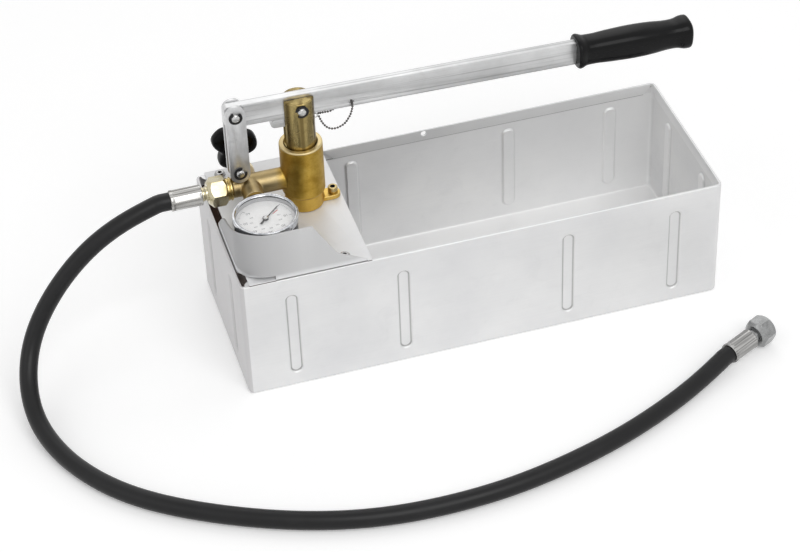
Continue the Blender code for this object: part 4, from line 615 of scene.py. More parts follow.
def cast_brass():
    """Cast brass: grainy and tarnished, paler where it was machined at its mouth; a painted sheen on its
    arm, painted shade on its left side, under the barrel's step and in creases, painted light on its foot
    and base, and lighter edges as a painted highlight along with wear.
    """
    shader = Shader("cast_brass", (0.45, 0.31, 0.07), 1.0, 0.40)
    grain = shader.noise(1300.0, 4.0, 0.65)
    cloud = shader.noise(70.0, 5.0, 0.6)
    patch = shader.noise(22.0, 4.0, 0.55)
    shader.tone = shader.ramp(
        cloud, [(0.32, (0.41, 0.245, 0.034)), (0.50, (0.61, 0.395, 0.074)), (0.70, (0.76, 0.53, 0.13))],
    )
    shader.tint(shader.spread(patch, 0.0, 0.55), (0.40, 0.245, 0.035))
    # Painted sheen: the arm and the parts left of the barrel are paler
    near, far = PUMP_X - BASE_RADIUS - ARM_SHEEN_FROM, PUMP_X - BASE_RADIUS - ARM_SHEEN_TO
    pale = shader.mix(shader.spread(cloud), (0.46, 0.38, 0.22), (0.60, 0.53, 0.36))
    shader.tint(shader.along("X", near, far), pale, 0.75)
    mouth = BODY_BASE + BODY_HEIGHT
    rim = shader.along("Z", mouth - MOUTH_RING, mouth - MOUTH_RING + BRASS_BLUR)
    barrel = shader.along("X", PUMP_X - BODY_RADIUS - BRASS_BLUR, PUMP_X - BODY_RADIUS)
    shader.tint(shader.times(rim, barrel), (0.68, 0.58, 0.35), 0.8)
    # Painted shade: darker from the barrel's middle to its left side, and on everything left of it
    shader.tint(
        shader.spread(shader.along("X", PUMP_X - BODY_RADIUS, PUMP_X), 0.50, 0.0, 0.0, 0.6),
        (0.16, 0.10, 0.03),
    )
    # Painted light: the right foot and the base under the barrel are lighter
    foot = shader.along("X", PUMP_X + BASE_RADIUS, PUMP_X + BASE_RADIUS + 3 * BRASS_BLUR)
    step = shader.along("Z", BODY_BASE + BASE_HEIGHT, BODY_BASE + BASE_HEIGHT - BRASS_BLUR)
    shader.tint(foot, (0.66, 0.49, 0.17), 0.6)
    shader.tint(step, (0.72, 0.47, 0.11), 0.4)
    # Painted shade: a dark line on the chamfer under the barrel's overhang, just above the base
    top = BODY_BASE + BASE_HEIGHT
    above = shader.along("Z", top + STEP_SHADE_ABOVE, top + STEP_SHADE_ABOVE / 2)
    seam = shader.times(above, shader.along("Z", top - STEP_SHADE_BELOW, top))
    shader.tint(seam, (0.12, 0.06, 0.01), 0.7)
    shader.tint(shader.spread(grain, 0.0, 0.35, 0.5, 0.8), (0.22, 0.135, 0.02))
    # Painted highlight on the outer edges, along with their wear, and painted shade in the creases
    shader.tint(shader.edges(0.51, 0.58), (0.85, 0.74, 0.46), 0.5)
    shader.tint(shader.creases(), (0.10, 0.05, 0.01), 0.7)
    return shader.coat(shader.spread(grain, 0.32, 0.50), (grain, 0.00014, 0.4), (cloud, 0.0005, 0.15))


def turned_brass(name, colour, dark, grain, roughness=0.26, streaks=0.0, stains=0.75):
    """Machined brass with turning lines and tarnish."""
    shader = Shader(name, colour, 1.0, roughness)
    lines = shader.noise(1400.0, 2.0, 0.5, grain)
    tarnish = shader.noise(70.0, 5.0, 0.62)
    shader.tone = colour
    shader.tint(shader.spread(tarnish, 0.0, stains, 0.42, 0.72), dark)
    # Long dark streaks along the grain, where asked for: painted reflection
    if streaks:
        reflection_streaks = shader.noise(130.0, 3.0, 0.5, grain)
        shader.tint(shader.spread(reflection_streaks, 0.0, streaks, 0.42, 0.60), dark)
    shader.tint(shader.spread(lines, 0.0, 0.25), dark)
    return shader.coat(shader.spread(tarnish, roughness - 0.06, roughness + 0.14), (lines, 0.00003, 0.25))


def plated(name, colour, roughness, stain_and_reflection, grain=(1.0, 1.0, 1.0), turn=(0, 0, 0), share=0.6):
    """Plated or polished steel, darker in faint clouds and long streaks: stains together with painted
    reflection.
    """
    shader = Shader(name, colour, 1.0, roughness)
    cloud = shader.noise(160.0, 5.0, 0.6, grain, turn=turn)
    streak = shader.noise(620.0, 3.0, 0.5, grain, turn=turn)
    fine = shader.noise(2200.0, 2.0, 0.5)
    shader.tone = colour
    # Dark clouds and streaks: stains together with painted reflection
    shader.tint(shader.spread(cloud, 0.0, share, 0.45, 0.68), stain_and_reflection)
    shader.tint(shader.spread(streak, 0.0, share / 2, 0.45, 0.68), stain_and_reflection)
    return shader.coat(shader.spread(cloud, roughness - 0.03, roughness + 0.08), (fine, 0.00002, 0.15))


def moulded(name, colour, roughness, gloss=0.20, grain=1800.0, depth=0.00006):
    """Moulded plastic with a fine eroded grain, and lighter edges: a painted highlight along with rubbing.
    """
    shader = Shader(name, colour, 0.0, roughness, Specular_IOR_Level=gloss)
    fine = shader.noise(grain, 3.0, 0.6)
    cloud = shader.noise(40.0, 4.0, 0.6)
    lighter = tuple(min(1.0, c * 1.5 + 0.001) for c in colour)
    shader.tone = colour
    shader.tint(shader.spread(cloud, 0.0, 0.5), lighter)
    # Painted highlight on the outer edges, along with rubbing
    shader.tint(shader.edges(0.52, 0.62), lighter, 0.5)
    return shader.coat(shader.spread(cloud, roughness - 0.06, roughness + 0.08), (fine, depth, 0.3))


def hose_rubber():
    """A smooth rubber cover with a faint cloth imprint, dull dust and small scuffs."""
    shader = Shader("hose_rubber", (0.007, 0.007, 0.0075), 0.0, 0.36, Specular_IOR_Level=0.28)
    weave = shader.noise(1300.0, 2.0, 0.5)
    dust = shader.noise(26.0, 6.0, 0.65)
    scuff = shader.noise(300.0, 5.0, 0.7, (1, 1, 3))
    shader.tone = (0.006, 0.006, 0.0065)
    shader.tint(shader.spread(dust, 0.0, 0.6, 0.45, 0.8), (0.014, 0.014, 0.015))
    shader.tint(shader.spread(scuff, 0.0, 0.4, 0.66, 0.8), (0.03, 0.03, 0.03))
    return shader.coat(shader.spread(dust, 0.32, 0.44), (weave, 0.00005, 0.2))


def lens_glass():
    """A thin clear cover: mostly see-through, with its own gloss."""
    shader = Shader("lens_glass", (1.0, 1.0, 1.0), 0.0, 0.03, IOR=1.49, Alpha=0.05)
    haze = shader.noise(90.0, 4.0, 0.6)
    shader.feed(Roughness=shader.spread(haze, 0.015, 0.06))
    return shader.material


def enamel(name, colour, roughness):
    shader = Shader(name, colour, 0.0, roughness)
    cloud = shader.noise(160.0, 4.0, 0.6)
    darker = tuple(c * 0.93 for c in colour)
    shader.tone = darker
    shader.tint(shader.spread(cloud), colour)
    return shader.coat(shader.spread(cloud, roughness - 0.05, roughness + 0.05))


ALONG_X = (0.02, 1.0, 1.0)
ALONG_Y = (1.0, 0.02, 1.0)
ALONG_Z = (1.0, 1.0, 0.02)

looks = {
    # The inside is a lighter copy of the outer sheet, painted light, and the hem a darker copy, painted
    # shade
    "sheet": stainless_sheet("sheet_outside", (0.74, 0.742, 0.75), (0.85, 0.85, 0.848), "outside"),
    "inside": stainless_sheet("sheet_inside", (0.77, 0.772, 0.78), (0.87, 0.87, 0.868), "inside"),
    "hem": stainless_sheet("sheet_hem", (0.65, 0.652, 0.658), (0.73, 0.73, 0.728), "hem"),
    "plate": stainless_plate(),
    "cast": cast_brass(),
    # The piston's long dark streaks are painted reflection
    "piston": turned_brass(
        "piston_brass", (0.42, 0.33, 0.14), (0.12, 0.085, 0.03), ALONG_Z, 0.20, 0.85, 0.35,
    ),
    "turned": turned_brass("turned_brass", (0.70, 0.57, 0.28), (0.44, 0.32, 0.10), ALONG_Y, 0.20),
    "nut": turned_brass("nut_brass", (0.56, 0.52, 0.385), (0.44, 0.35, 0.15), ALONG_Y, 0.20),
    "gilt": turned_brass("gilt_steel", (0.50, 0.40, 0.20), (0.22, 0.15, 0.05), ALONG_Z, 0.24),
    "bar": brushed("lever_bar", (0.70, 0.703, 0.705), 0.34, ALONG_X, 0.16, 0.85, (0, LEVER_TILT, 0), 0.45),
    "link": brushed("link_plate", (0.72, 0.722, 0.725), 0.32, (1.0, 1.0, 0.1), 0.30, 0.9),
    "bright": plated("bright_steel", (0.62, 0.62, 0.61), 0.20, (0.26, 0.26, 0.26)),
    # The ferrules' dark streaks along their length are stains together with painted reflection; the far
    # ferrule is a darker copy of the near one, painted shade
    "crimp": plated(
        "crimped_near", (0.58, 0.575, 0.56), 0.20, (0.13, 0.12, 0.105), (0.03, 1.0, 1.0), share=1.0,
    ),
    "crimp_far": plated(
        "crimped_far", (0.46, 0.455, 0.445), 0.20, (0.04, 0.04, 0.04), (0.03, 1.0, 1.0),
        (0, 0, FAR_HEADING), 1.0,
    ),
    "nut_steel": plated("nut_steel", (0.33, 0.335, 0.335), 0.22, (0.17, 0.17, 0.17)),
    "screw": plated("screw_steel", (0.40, 0.395, 0.39), 0.24, (0.16, 0.16, 0.16)),
    "chain": plated("chain_nickel", (0.13, 0.12, 0.115), 0.26, (0.04, 0.04, 0.04)),
    "chrome": plated("chrome", (0.62, 0.63, 0.65), 0.10, (0.22, 0.23, 0.25)),
    "case": moulded("case_black", (0.014, 0.014, 0.015), 0.30),
    "lining": enamel("gauge_lining", (0.50, 0.50, 0.51), 0.4),
    "clip": moulded("black_clip", (0.014, 0.014, 0.015), 0.38),
    "socket": moulded("socket_shadow", (0.010, 0.010, 0.010), 0.55),
    "plastic": moulded("black_plastic", (0.004, 0.004, 0.0043), 0.19, 0.15),
    "knob": moulded("knob_plastic", (0.0015, 0.0015, 0.0016), 0.22, 0.10),
    "hose": hose_rubber(),
    "dial": enamel("dial_white", (1.0, 1.0, 0.995), 0.45),
    "print": enamel("dial_print", (0.30, 0.30, 0.31), 0.5),
    "mark": enamel("dial_mark", (0.66, 0.05, 0.04), 0.45),
    "needle": enamel("needle_black", (0.014, 0.014, 0.014), 0.35),
    "lens": lens_glass(),
    "seal": moulded("seal_rubber", (0.02, 0.02, 0.02), 0.6),
    "grey": moulded("grey_plastic", (0.33, 0.34, 0.35), 0.45),
}


WHITE = (1.0, 1.0, 1.0)
WORLD_LEVEL = 0.58
FLOOR_LIFT = 0.18
FLOOR_SIZE = 12.0
LAMP_AIM = Vector((0, 0, 0.1))
LAMPS = [
    ("key", (0.4, -2.7, 3.2), 2.6, 55.0),
    ("side", (-3.2, -1.2, 2.2), 2.4, 10.0),
    ("back", (0.3, 3.2, 3.2), 3.0, 20.0),
]


def seen_rays(tree, unseen, seen):
    """One strength for light that falls on things, and another for what camera, gloss and glass rays see."""
    rays = tree.nodes.new("ShaderNodeLightPath")
    total = rays.outputs["Is Camera Ray"]
    for output in ("Is Glossy Ray", "Is Transmission Ray"):
        either = tree.nodes.new("ShaderNodeMath")
        either.operation = "MAXIMUM"
        tree.links.new(total, either.inputs[0])
        tree.links.new(rays.outputs[output], either.inputs[1])
        total = either.outputs[0]
    strength = tree.nodes.new("ShaderNodeMapRange")
    strength.inputs["To Min"].default_value = unseen
    strength.inputs["To Max"].default_value = seen
    tree.links.new(total, strength.inputs["Value"])
    return strength.outputs["Result"]


def linked(name, data):
    """A new object in the scene."""
    obj = bpy.data.objects.new(name, data)
    bpy.context.scene.collection.objects.link(obj)
    return obj


def studio():
    """A pale floor, soft lamps and a white surround."""
    corners = [(x * FLOOR_SIZE, y * FLOOR_SIZE, 0) for x, y in ((-1, -1), (1, -1), (1, 1), (-1, 1))]
    mesh = bpy.data.meshes.new("floor")
    mesh.from_pydata(corners, [], [(0, 1, 2, 3)])
    floor = linked("floor", mesh)
    shader = Shader(
        "floor_paper", (0.96, 0.96, 0.96), 0.0, 0.9, Specular_IOR_Level=0.1, Emission_Color=WHITE,
    )
    shader.feed(Emission_Strength=seen_rays(shader.tree, 0.0, FLOOR_LIFT))
    floor.data.materials.append(shader.material)
    world = bpy.data.worlds.new("studio")
    bpy.context.scene.world = world
    world.use_nodes = True
    tree = world.node_tree
    background = tree.nodes["Background"]
    background.inputs["Color"].default_value = (*WHITE, 1.0)
    tree.links.new(seen_rays(tree, WORLD_LEVEL, 1.0), background.inputs["Strength"])
    for name, at, width, power in LAMPS:
        lamp = bpy.data.lights.new(name, "AREA")
        lamp.shape = "SQUARE"
        lamp.size = width
        lamp.energy = power
        obj = linked(name, lamp)
        obj.location = at
        obj.rotation_mode = "QUATERNION"
        obj.rotation_quaternion = (LAMP_AIM - Vector(at)).to_track_quat("-Z", "Y")
    bpy.context.scene.view_settings.view_transform = "Standard"


def camera():
    data = bpy.data.cameras.new("camera")
    data.lens = CAMERA_LENS
    data.sensor_width = CAMERA_SENSOR
    obj = linked("camera", data)
    look, up = Vector(CAMERA_LOOK), Vector(CAMERA_UP)
    right = look.cross(up).normalized()
    up = right.cross(look).normalized()
    turn = Matrix((right, up, -look.normalized())).transposed().to_4x4()
    obj.matrix_world = Matrix.Translation(CAMERA_AT) @ turn
    bpy.context.scene.camera = obj


def dress(obj, look, body, replaced, angle=35.0):
    """Gives a piece its finish, smooth shading up to an angle, and its place in the model."""
    obj.data.materials.clear()
    obj.data.materials.append(looks[look])
    obj.data.shade_smooth()
    obj.data.set_sharp_from_angle(angle=radians(angle))
    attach(obj, body)
    if replaced:
        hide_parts(*replaced)
    return obj


def facing(axis):
    """The turn that lays a shape's own Z along the named direction."""
    return {
        "z": Matrix.Identity(4),
        "-z": Matrix.Rotation(pi, 4, "X"),
        "x": Matrix.Rotation(pi / 2, 4, "Y"),
        "-x": Matrix.Rotation(-pi / 2, 4, "Y"),
        "y": Matrix.Rotation(-pi / 2, 4, "X"),
        "-y": Matrix.Rotation(pi / 2, 4, "X"),
    }[axis]


def spline_points(route, spacing):
    """Points at even spacing along a smooth curve through the route."""
    steps = 32
    dense = []
    for k in range(len(route) - 1):
        before = route[max(k - 1, 0)]
        start, end = route[k], route[k + 1]
        after = route[min(k + 2, len(route) - 1)]
        for step in range(steps):
            t = step / steps
            dense.append(
                0.5 * (2 * start + (end - before) * t + (2 * before - 5 * start + 4 * end - after) * t * t
                       + (3 * start - before - 3 * end + after) * t * t * t)
            )
    dense.append(route[-1])
    travelled = [0.0]
    for a, b in zip(dense, dense[1:]):
        travelled.append(travelled[-1] + (b - a).length)
    count = max(2, round(travelled[-1] / spacing))
    made, here = [], 0
    for step in range(count + 1):
        wanted = travelled[-1] * step / count
        while here < len(dense) - 2 and travelled[here + 1] < wanted:
            here += 1
        share = (wanted - travelled[here]) / (travelled[here + 1] - travelled[here])
        made.append(dense[here].lerp(dense[here + 1], min(1.0, share)))
    return made


def centre_of_end(node, direction):
    """The middle of a turned node's end in a direction, from its own vertices."""
    mesh = frame["nodes"][node].data
    way = Vector(direction).normalized()
    reach = max(v.co.dot(way) for v in mesh.vertices)
    end = [v.co for v in mesh.vertices if reach - v.co.dot(way) < GAP / 2]
    return sum(end, Vector()) / len(end)


def far_way():
    """The way that the far nut points."""
    return Vector((*polar(1.0, radians(FAR_HEADING)), 0))


def make_hose(fittings):
    """The hose along its route, rounded off a little; the fittings, the pieces at its ends, are not used."""
    lead = HOSE_RADIUS
    near = centre_of_end("hose_ferrule", (-1, 0, 0)) - Vector((GAP, 0, 0))
    toward = far_way()
    far = centre_of_end("hose_ferrule_far", -toward) - toward * GAP
    route = [near - Vector((lead, 0, 0))] + [Vector(p) for p in HOSE_ROUTE] + [far - toward * lead]
    points = [near] + spline_points(route, 0.004) + [far]
    for _ in range(60):
        middle = [(a + 2 * b + c) / 4 for a, b, c in zip(points, points[1:], points[2:])]
        points = points[:3] + middle[2:-2] + points[-3:]
    points = [Vector((p.x, p.y, max(p.z, SEEN_HOSE_RADIUS))) for p in points]
    curve = bpy.data.curves.new("hose_cover", "CURVE")
    curve.dimensions = "3D"
    curve.bevel_depth = SEEN_HOSE_RADIUS
    curve.bevel_resolution = 6
    curve.use_fill_caps = True
    line = curve.splines.new("POLY")
    line.points.add(len(points) - 1)
    for place, point in zip(line.points, points):
        place.co = (*point, 1.0)
    hose = linked("hose_cover", curve)
    curve.materials.append(looks["hose"])
    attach(hose, "base")
    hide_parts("hose")
    return hose


def lever_frame():
    centre = Vector(LEVER_AT)
    return Matrix.Translation(centre) @ Matrix.Rotation(radians(LEVER_TILT), 4, "Y")


def make_chain():
    """A chain of round beads joined by short wires."""
    turn = lever_frame()
    route = [turn @ Vector(p) for p in CHAIN_ROUTE]
    path = spline_points(route, 2.45 * CHAIN_RADIUS)
    shape = bmesh.new()
    for here in path:
        made = bmesh.ops.create_uvsphere(shape, u_segments=14, v_segments=10, radius=CHAIN_RADIUS)
        bmesh.ops.translate(shape, vec=here, verts=made["verts"])
    for a, b in zip(path, path[1:]):
        made = bmesh.ops.create_cone(
            shape, cap_ends=True, segments=8, radius1=CHAIN_RADIUS * 0.32, radius2=CHAIN_RADIUS * 0.32,
            depth=(b - a).length,
        )
        aim = (b - a).to_track_quat("Z", "Y").to_matrix().to_4x4()
        bmesh.ops.transform(shape, matrix=Matrix.Translation((a + b) / 2) @ aim, verts=made["verts"])
    chain = finished("bead_chain", shape)
    dress(chain, "chain", "lever", ("lock_chain",), 60.0)
    return chain


def finished(name, shape):
    """An object from a mesh under work, which it uses up."""
    mesh = bpy.data.meshes.new(name)
    shape.to_mesh(mesh)
    shape.free()
    return linked(name, mesh)


def link_up(name, points, faces):
    """An object from points and faces, with its faces turned out."""
    mesh = bpy.data.meshes.new(name)
    mesh.from_pydata([tuple(p) for p in points], [], faces)
    shape = bmesh.new()
    shape.from_mesh(mesh)
    bmesh.ops.recalc_face_normals(shape, faces=shape.faces)
    shape.to_mesh(mesh)
    shape.free()
    return linked(name, mesh)


def apply(obj):
    """Turns an object's modifiers into its mesh."""
    graph = bpy.context.evaluated_depsgraph_get()
    made = bpy.data.meshes.new_from_object(obj.evaluated_get(graph))
    obj.modifiers.clear()
    obj.data = made
    return obj


def carve(obj, others, operation="DIFFERENCE"):
    """Cuts with, meets with or joins other solids, and discards them."""
    for other in others:
        step = obj.modifiers.new("carve", "BOOLEAN")
        step.operation = operation
        step.solver = "MANIFOLD"
        step.object = other
    apply(obj)
    for other in others:
        bpy.data.objects.remove(other)
    return obj


def bevel(obj, width, segments=3, angle=35.0):
    step = obj.modifiers.new("bevel", "BEVEL")
    step.width = width
    step.segments = segments
    step.limit_method = "ANGLE"
    step.angle_limit = radians(angle)
    step.harden_normals = False
    return apply(obj)


def move(obj, matrix):
    obj.data.transform(matrix)
    return obj


def place(obj, at=(0, 0, 0), axis="z"):
    return move(obj, Matrix.Translation(at) @ facing(axis))


def merge(name, objects):
    """One object made of several closed shells."""
    shape = bmesh.new()
    for obj in objects:
        shape.from_mesh(obj.data)
        bpy.data.objects.remove(obj)
    return finished(name, shape)


def polar(reach, angle):
    """The place at a reach and an angle in radians."""
    return reach * cos(angle), reach * sin(angle)


def arc(centre, radius, start, end, steps):
    """Places along an arc, from one angle in degrees to another."""
    turned = [polar(radius, radians(start + (end - start) * k / steps)) for k in range(steps + 1)]
    return [(centre[0] + x, centre[1] + y) for x, y in turned]


def quarter(steps):
    """Angles in degrees through a quarter turn."""
    return [90 * k / steps for k in range(steps + 1)]


def rounded(radius, angles):
    """How far a rounded corner stands back in each of its two directions, at angles in degrees."""
    turns = [radians(angle) for angle in angles]
    return [(radius * (1 - cos(turn)), radius * (1 - sin(turn))) for turn in turns]


def capsule(low, high, radius, steps=20):
    """An upright bar with round ends, as seen flat."""
    return arc((0, high), radius, 0, 180, steps) + arc((0, low), radius, 180, 360, steps)


def eased(profile, radius, steps=3, closed=False):
    """Rounds the corners of an outline by up to a radius."""
    made, count = [], len(profile)
    for k, corner in enumerate(profile):
        here = Vector(corner)
        before, after = Vector(profile[k - 1]) - here, Vector(profile[(k + 1) % count]) - here
        end = not closed and k in (0, count - 1)
        if end or before.length < 1e-7 or after.length < 1e-7 or before.angle(after) > radians(172):
            made.append(tuple(here))
            continue
        reach = min(radius, 0.45 * before.length, 0.45 * after.length)
        first, last = here + before.normalized() * reach, here + after.normalized() * reach
        for step in range(steps + 1):
            t = step / steps
            made.append(tuple(first * (1 - t) ** 2 + here * 2 * t * (1 - t) + last * t * t))
    return made


def loft(name, rings, closed=False):
    """A skin over rings of equal count, closed into a loop or capped at both ends."""
    count = len(rings[0])
    points = [p for ring in rings for p in ring]
    faces = []
    total = len(rings)
    for level in range(total if closed else total - 1):
        a, b = level * count, ((level + 1) % total) * count
        for k in range(count):
            j = (k + 1) % count
            faces.append((a + k, a + j, b + j, b + k))
    if not closed:
        faces.append(tuple(range(count))[::-1])
        faces.append(tuple(range((total - 1) * count, total * count)))
    return link_up(name, points, faces)


def lathe(name, profile, sides=64, easing=0.0003):
    """Turns an outline of (radius, height) about Z. One that starts and ends off the axis gets a bore."""
    hollow = profile[0][0] > 0
    profile = eased(profile, easing, closed=hollow)
    if not hollow:
        profile = profile[1:-1]
    rings = [[(*polar(r, 2 * pi * k / sides), z) for k in range(sides)] for r, z in profile]
    return loft(name, rings, closed=hollow)


def rod(radius, low, high, at=(0, 0, 0), axis="z", sides=48):
    return place(lathe("rod", [(0, low), (radius, low), (radius, high), (0, high)], sides, 0.0), at, axis)


def prism(name, outline, low, high, at=(0, 0, 0), axis="z"):
    rings = [[(x, y, z) for x, y in outline] for z in (low, high)]
    return place(loft(name, rings), at, axis)


def hexagon(across_flats, turn=0.0):
    corner = across_flats / sqrt(3)
    return [polar(corner, radians(turn + 60 * k)) for k in range(6)]


def smooth_share(shares, way):
    """Reads a table of shares with a smooth curve through its entries."""
    ways = [entry[0] for entry in shares]
    values = [entry[1] for entry in shares]
    slopes = np.gradient(values, ways)
    for k in range(len(ways) - 1):
        if way <= ways[k + 1] or k == len(ways) - 2:
            span = ways[k + 1] - ways[k]
            t = min(1.0, max(0.0, (way - ways[k]) / span))
            first, last = values[k], values[k + 1]
            return (
                (2 * t**3 - 3 * t**2 + 1) * first + (t**3 - 2 * t**2 + t) * span * slopes[k]
                + (3 * t**2 - 2 * t**3) * last + (t**3 - t**2) * span * slopes[k + 1]
            )
    return values[-1]


# Tank

BEAD_SLOPE_OUTER = BEAD_WIDTH / 2 + 0.0002
BEAD_SLOPE_INNER = BEAD_WIDTH / 2 - 0.0016
BEAD_STEP = 0.00075
LONG_BEADS = (-BEAD_OUTER_X, -BEAD_INNER_X, BEAD_INNER_X, BEAD_OUTER_X)
END_BEADS = (-BEAD_END_Y, BEAD_END_Y)
WALL_BEADS = {"front": LONG_BEADS, "back": LONG_BEADS, "left": END_BEADS, "right": END_BEADS}
WALL_SPACING = 0.012
LEAST_SPACING = 0.00015
RIM_ROUND = 0.0010
HEM_ROUND = 0.0004
HEM_LEAN = 0.0009
HEM_SPREAD = 0.0006
SEEN_FLOOR_RADIUS = 0.0032
FOLD_LEAST = 0.0006


def wall_samples(low, high, beads, marks):
    """Places along one straight wall: close together over its beads and wide apart elsewhere."""
    spots = {low, high}
    for middle in beads:
        half = round((BEAD_SLOPE_OUTER + 2 * BEAD_STEP) / BEAD_STEP)
        spots.update(middle + k * BEAD_STEP for k in range(-half, half + 1))
    spots.update(m for m in marks if low < m < high)
    count = int((high - low) / WALL_SPACING)
    spots.update(low + (high - low) * k / count for k in range(count))
    made = []
    for spot in sorted(spots):
        if not made or spot - made[-1] > LEAST_SPACING:
            made.append(spot)
    return made


def tank_columns():
    """Upright lines round the tank: place, way inwards, wall, and place along that wall."""
    half_x, half_y, r = HALF_LENGTH, HALF_WIDTH, CORNER_RADIUS
    marks = [PLATE_RIGHT - GAP, PLATE_RIGHT + GAP, PLATE_RIGHT + HEM_HEIGHT, PLATE_RIGHT - FLANGE_WIDTH,
             -half_x + FLANGE_WIDTH, half_x - HEM_HEIGHT - SHEET]
    end_marks = [-half_y + HEM_HEIGHT, half_y - HEM_HEIGHT]
    columns = []
    sides = (
        ("right", (1, 0), (0, 1), half_y - r, END_BEADS, end_marks, 1),
        ("back", (0, 1), (-1, 0), half_x - r, LONG_BEADS, marks, -1),
        ("left", (-1, 0), (0, -1), half_y - r, END_BEADS, end_marks, -1),
        ("front", (0, -1), (1, 0), half_x - r, LONG_BEADS, marks, 1),
    )
    for number, (wall, out, way, reach, beads, own_marks, sense) in enumerate(sides):
        samples = wall_samples(-reach, reach, beads, own_marks)
        if sense < 0:
            samples = samples[::-1]
        depth = half_x if out[0] else half_y
        for spot in samples:
            at = (out[0] * depth + abs(way[0]) * spot, out[1] * depth + abs(way[1]) * spot)
            columns.append((at, (-out[0], -out[1]), wall, spot))
        after = sides[(number + 1) % 4]
        centre = (
            (out[0] + after[1][0]) * (half_x - r),
            (out[1] + after[1][1]) * (half_y - r),
        )
        start = degrees(atan2(out[1], out[0]))
        for px, py in arc((0, 0), 1.0, start, start + 90, 8)[1:-1]:
            columns.append(((centre[0] + r * px, centre[1] + r * py), (-px, -py), "corner", 0.0))
    return columns


def fold_at(wall, spot):
    """Width and height of the fold inside the rim at a place: a hem, or the flange under the plate."""
    half_x, half_y = HALF_LENGTH - SHEET, HALF_WIDTH - SHEET
    if wall == "corner":
        return HEM_FOLD, FOLD_LEAST
    if wall in ("left", "right"):
        return HEM_FOLD, max(FOLD_LEAST, min(HEM_HEIGHT, half_y - abs(spot)))
    if spot > PLATE_RIGHT:
        return HEM_FOLD, max(FOLD_LEAST, min(HEM_HEIGHT, spot - PLATE_RIGHT, half_x - spot))
    return max(HEM_FOLD, min(FLANGE_WIDTH, PLATE_RIGHT - spot, spot + half_x)), SHEET


def bead_at(wall, spot, height):
    """How far a bead presses the sheet inwards at a place on its wall."""
    low = BEAD_FOOT + BEAD_WIDTH / 2
    high = TANK_HEIGHT - BEAD_BELOW_RIM - BEAD_WIDTH / 2
    up = max(low - height, 0.0, height - high)
    reach = min((hypot(spot - middle, up) for middle in WALL_BEADS.get(wall, ())), default=1.0)
    t = (BEAD_SLOPE_OUTER - reach) / (BEAD_SLOPE_OUTER - BEAD_SLOPE_INNER)
    t = min(1.0, max(0.0, t))
    return BEAD_DEPTH * t * t * (3 - 2 * t)


def wall_rows():
    """Heights up the wall, close together at the beads' round ends."""
    low, high = BEAD_FOOT - BEAD_STEP, BEAD_FOOT + BEAD_WIDTH / 2 + BEAD_STEP
    rows = list(np.arange(low, high, BEAD_STEP))
    rows += list(np.linspace(high, TANK_HEIGHT - BEAD_BELOW_RIM - BEAD_WIDTH / 2 - BEAD_STEP, 8))[:-1]
    top = TANK_HEIGHT - BEAD_BELOW_RIM
    rows += list(np.arange(top - BEAD_WIDTH / 2 - BEAD_STEP, top + 2 * BEAD_STEP, BEAD_STEP))
    return rows


def make_tank():
    fillet = 6
    rows = wall_rows()
    inner = SEEN_FLOOR_RADIUS - SHEET
    rings = []
    for (x, y), (nx, ny), wall, spot in tank_columns():
        width, height = fold_at(wall, spot)
        inside = SHEET + width + (HEM_SPREAD if height > 2 * SHEET else 0.0)
        low = TANK_HEIGHT - height
        line = [(s, c) for c, s in rounded(SEEN_FLOOR_RADIUS, quarter(fillet))]
        line += [(bead_at(wall, spot, z), z) for z in rows]
        line += [(c, TANK_HEIGHT - s) for c, s in rounded(RIM_ROUND, quarter(4))]
        lean = HEM_LEAN * min(1.0, max(0.0, height - 2 * SHEET) / HEM_HEIGHT)
        corner = rounded(min(HEM_ROUND, height / 3), quarter(3))
        line += [(inside - lean - s, TANK_HEIGHT - c) for c, s in corner]
        line += [(inside - c, low + s) for c, s in corner]
        line += [(SHEET, low), (SHEET, low - GAP), (SHEET, TANK_HEIGHT - HEM_HEIGHT - 2 * GAP)]
        line += [(SHEET + bead_at(wall, spot, z), z) for z in rows[::-1]]
        line += [(SHEET + s, SHEET + c) for c, s in rounded(inner, quarter(fillet)[::-1])]
        rings.append([(x + nx * inset, y + ny * inset, z) for inset, z in line])
    columns, count = len(rings), len(rings[0])
    points = [p for ring in rings for p in ring]
    faces = []
    for c in range(columns):
        d = (c + 1) % columns
        for k in range(count - 1):
            faces.append((c * count + k, d * count + k, d * count + k + 1, c * count + k + 1))
    faces.append(tuple(c * count for c in range(columns))[::-1])
    faces.append(tuple(c * count + count - 1 for c in range(columns)))
    pan = link_up("tank_pan", points, faces)
    hole_z = TANK_HEIGHT - HEM_HEIGHT / 3
    cuts = [rod(HANG_HOLE_RADIUS, -HEM_HEIGHT, HEM_HEIGHT, (HANG_HOLE_X, HALF_WIDTH, hole_z), "y", 32)]
    for at in screw_places():
        cuts.append(rod(
            PLATE_SCREW_RADIUS + GAP, -PLATE_SCREW_LENGTH, PLATE_SCREW_LENGTH, (*at, TANK_HEIGHT), "z", 24,
        ))
    carve(pan, cuts)
    dress(pan, "sheet", "base", ("tank",), 32.0)
    # The inward faces take the sheet's lighter copy, painted light, and the hem's faces its darker copy,
    # painted shade
    pan.data.materials.append(looks["inside"])
    pan.data.materials.append(looks["hem"])
    skin = 3 * BEAD_DEPTH
    for face in pan.data.polygons:
        centre, normal = face.center, face.normal
        inward = (
            (abs(centre.x) > HALF_LENGTH - skin and normal.x * centre.x < -0.3 * abs(centre.x))
            or (abs(centre.y) > HALF_WIDTH - skin and normal.y * centre.y < -0.3 * abs(centre.y))
            or (centre.z < skin and normal.z > 0.3)
        )
        if inward:
            hemmed = centre.z > TANK_HEIGHT - HEM_HEIGHT - GAP and abs(normal.x) < 0.5
            face.material_index = 2 if hemmed else 1


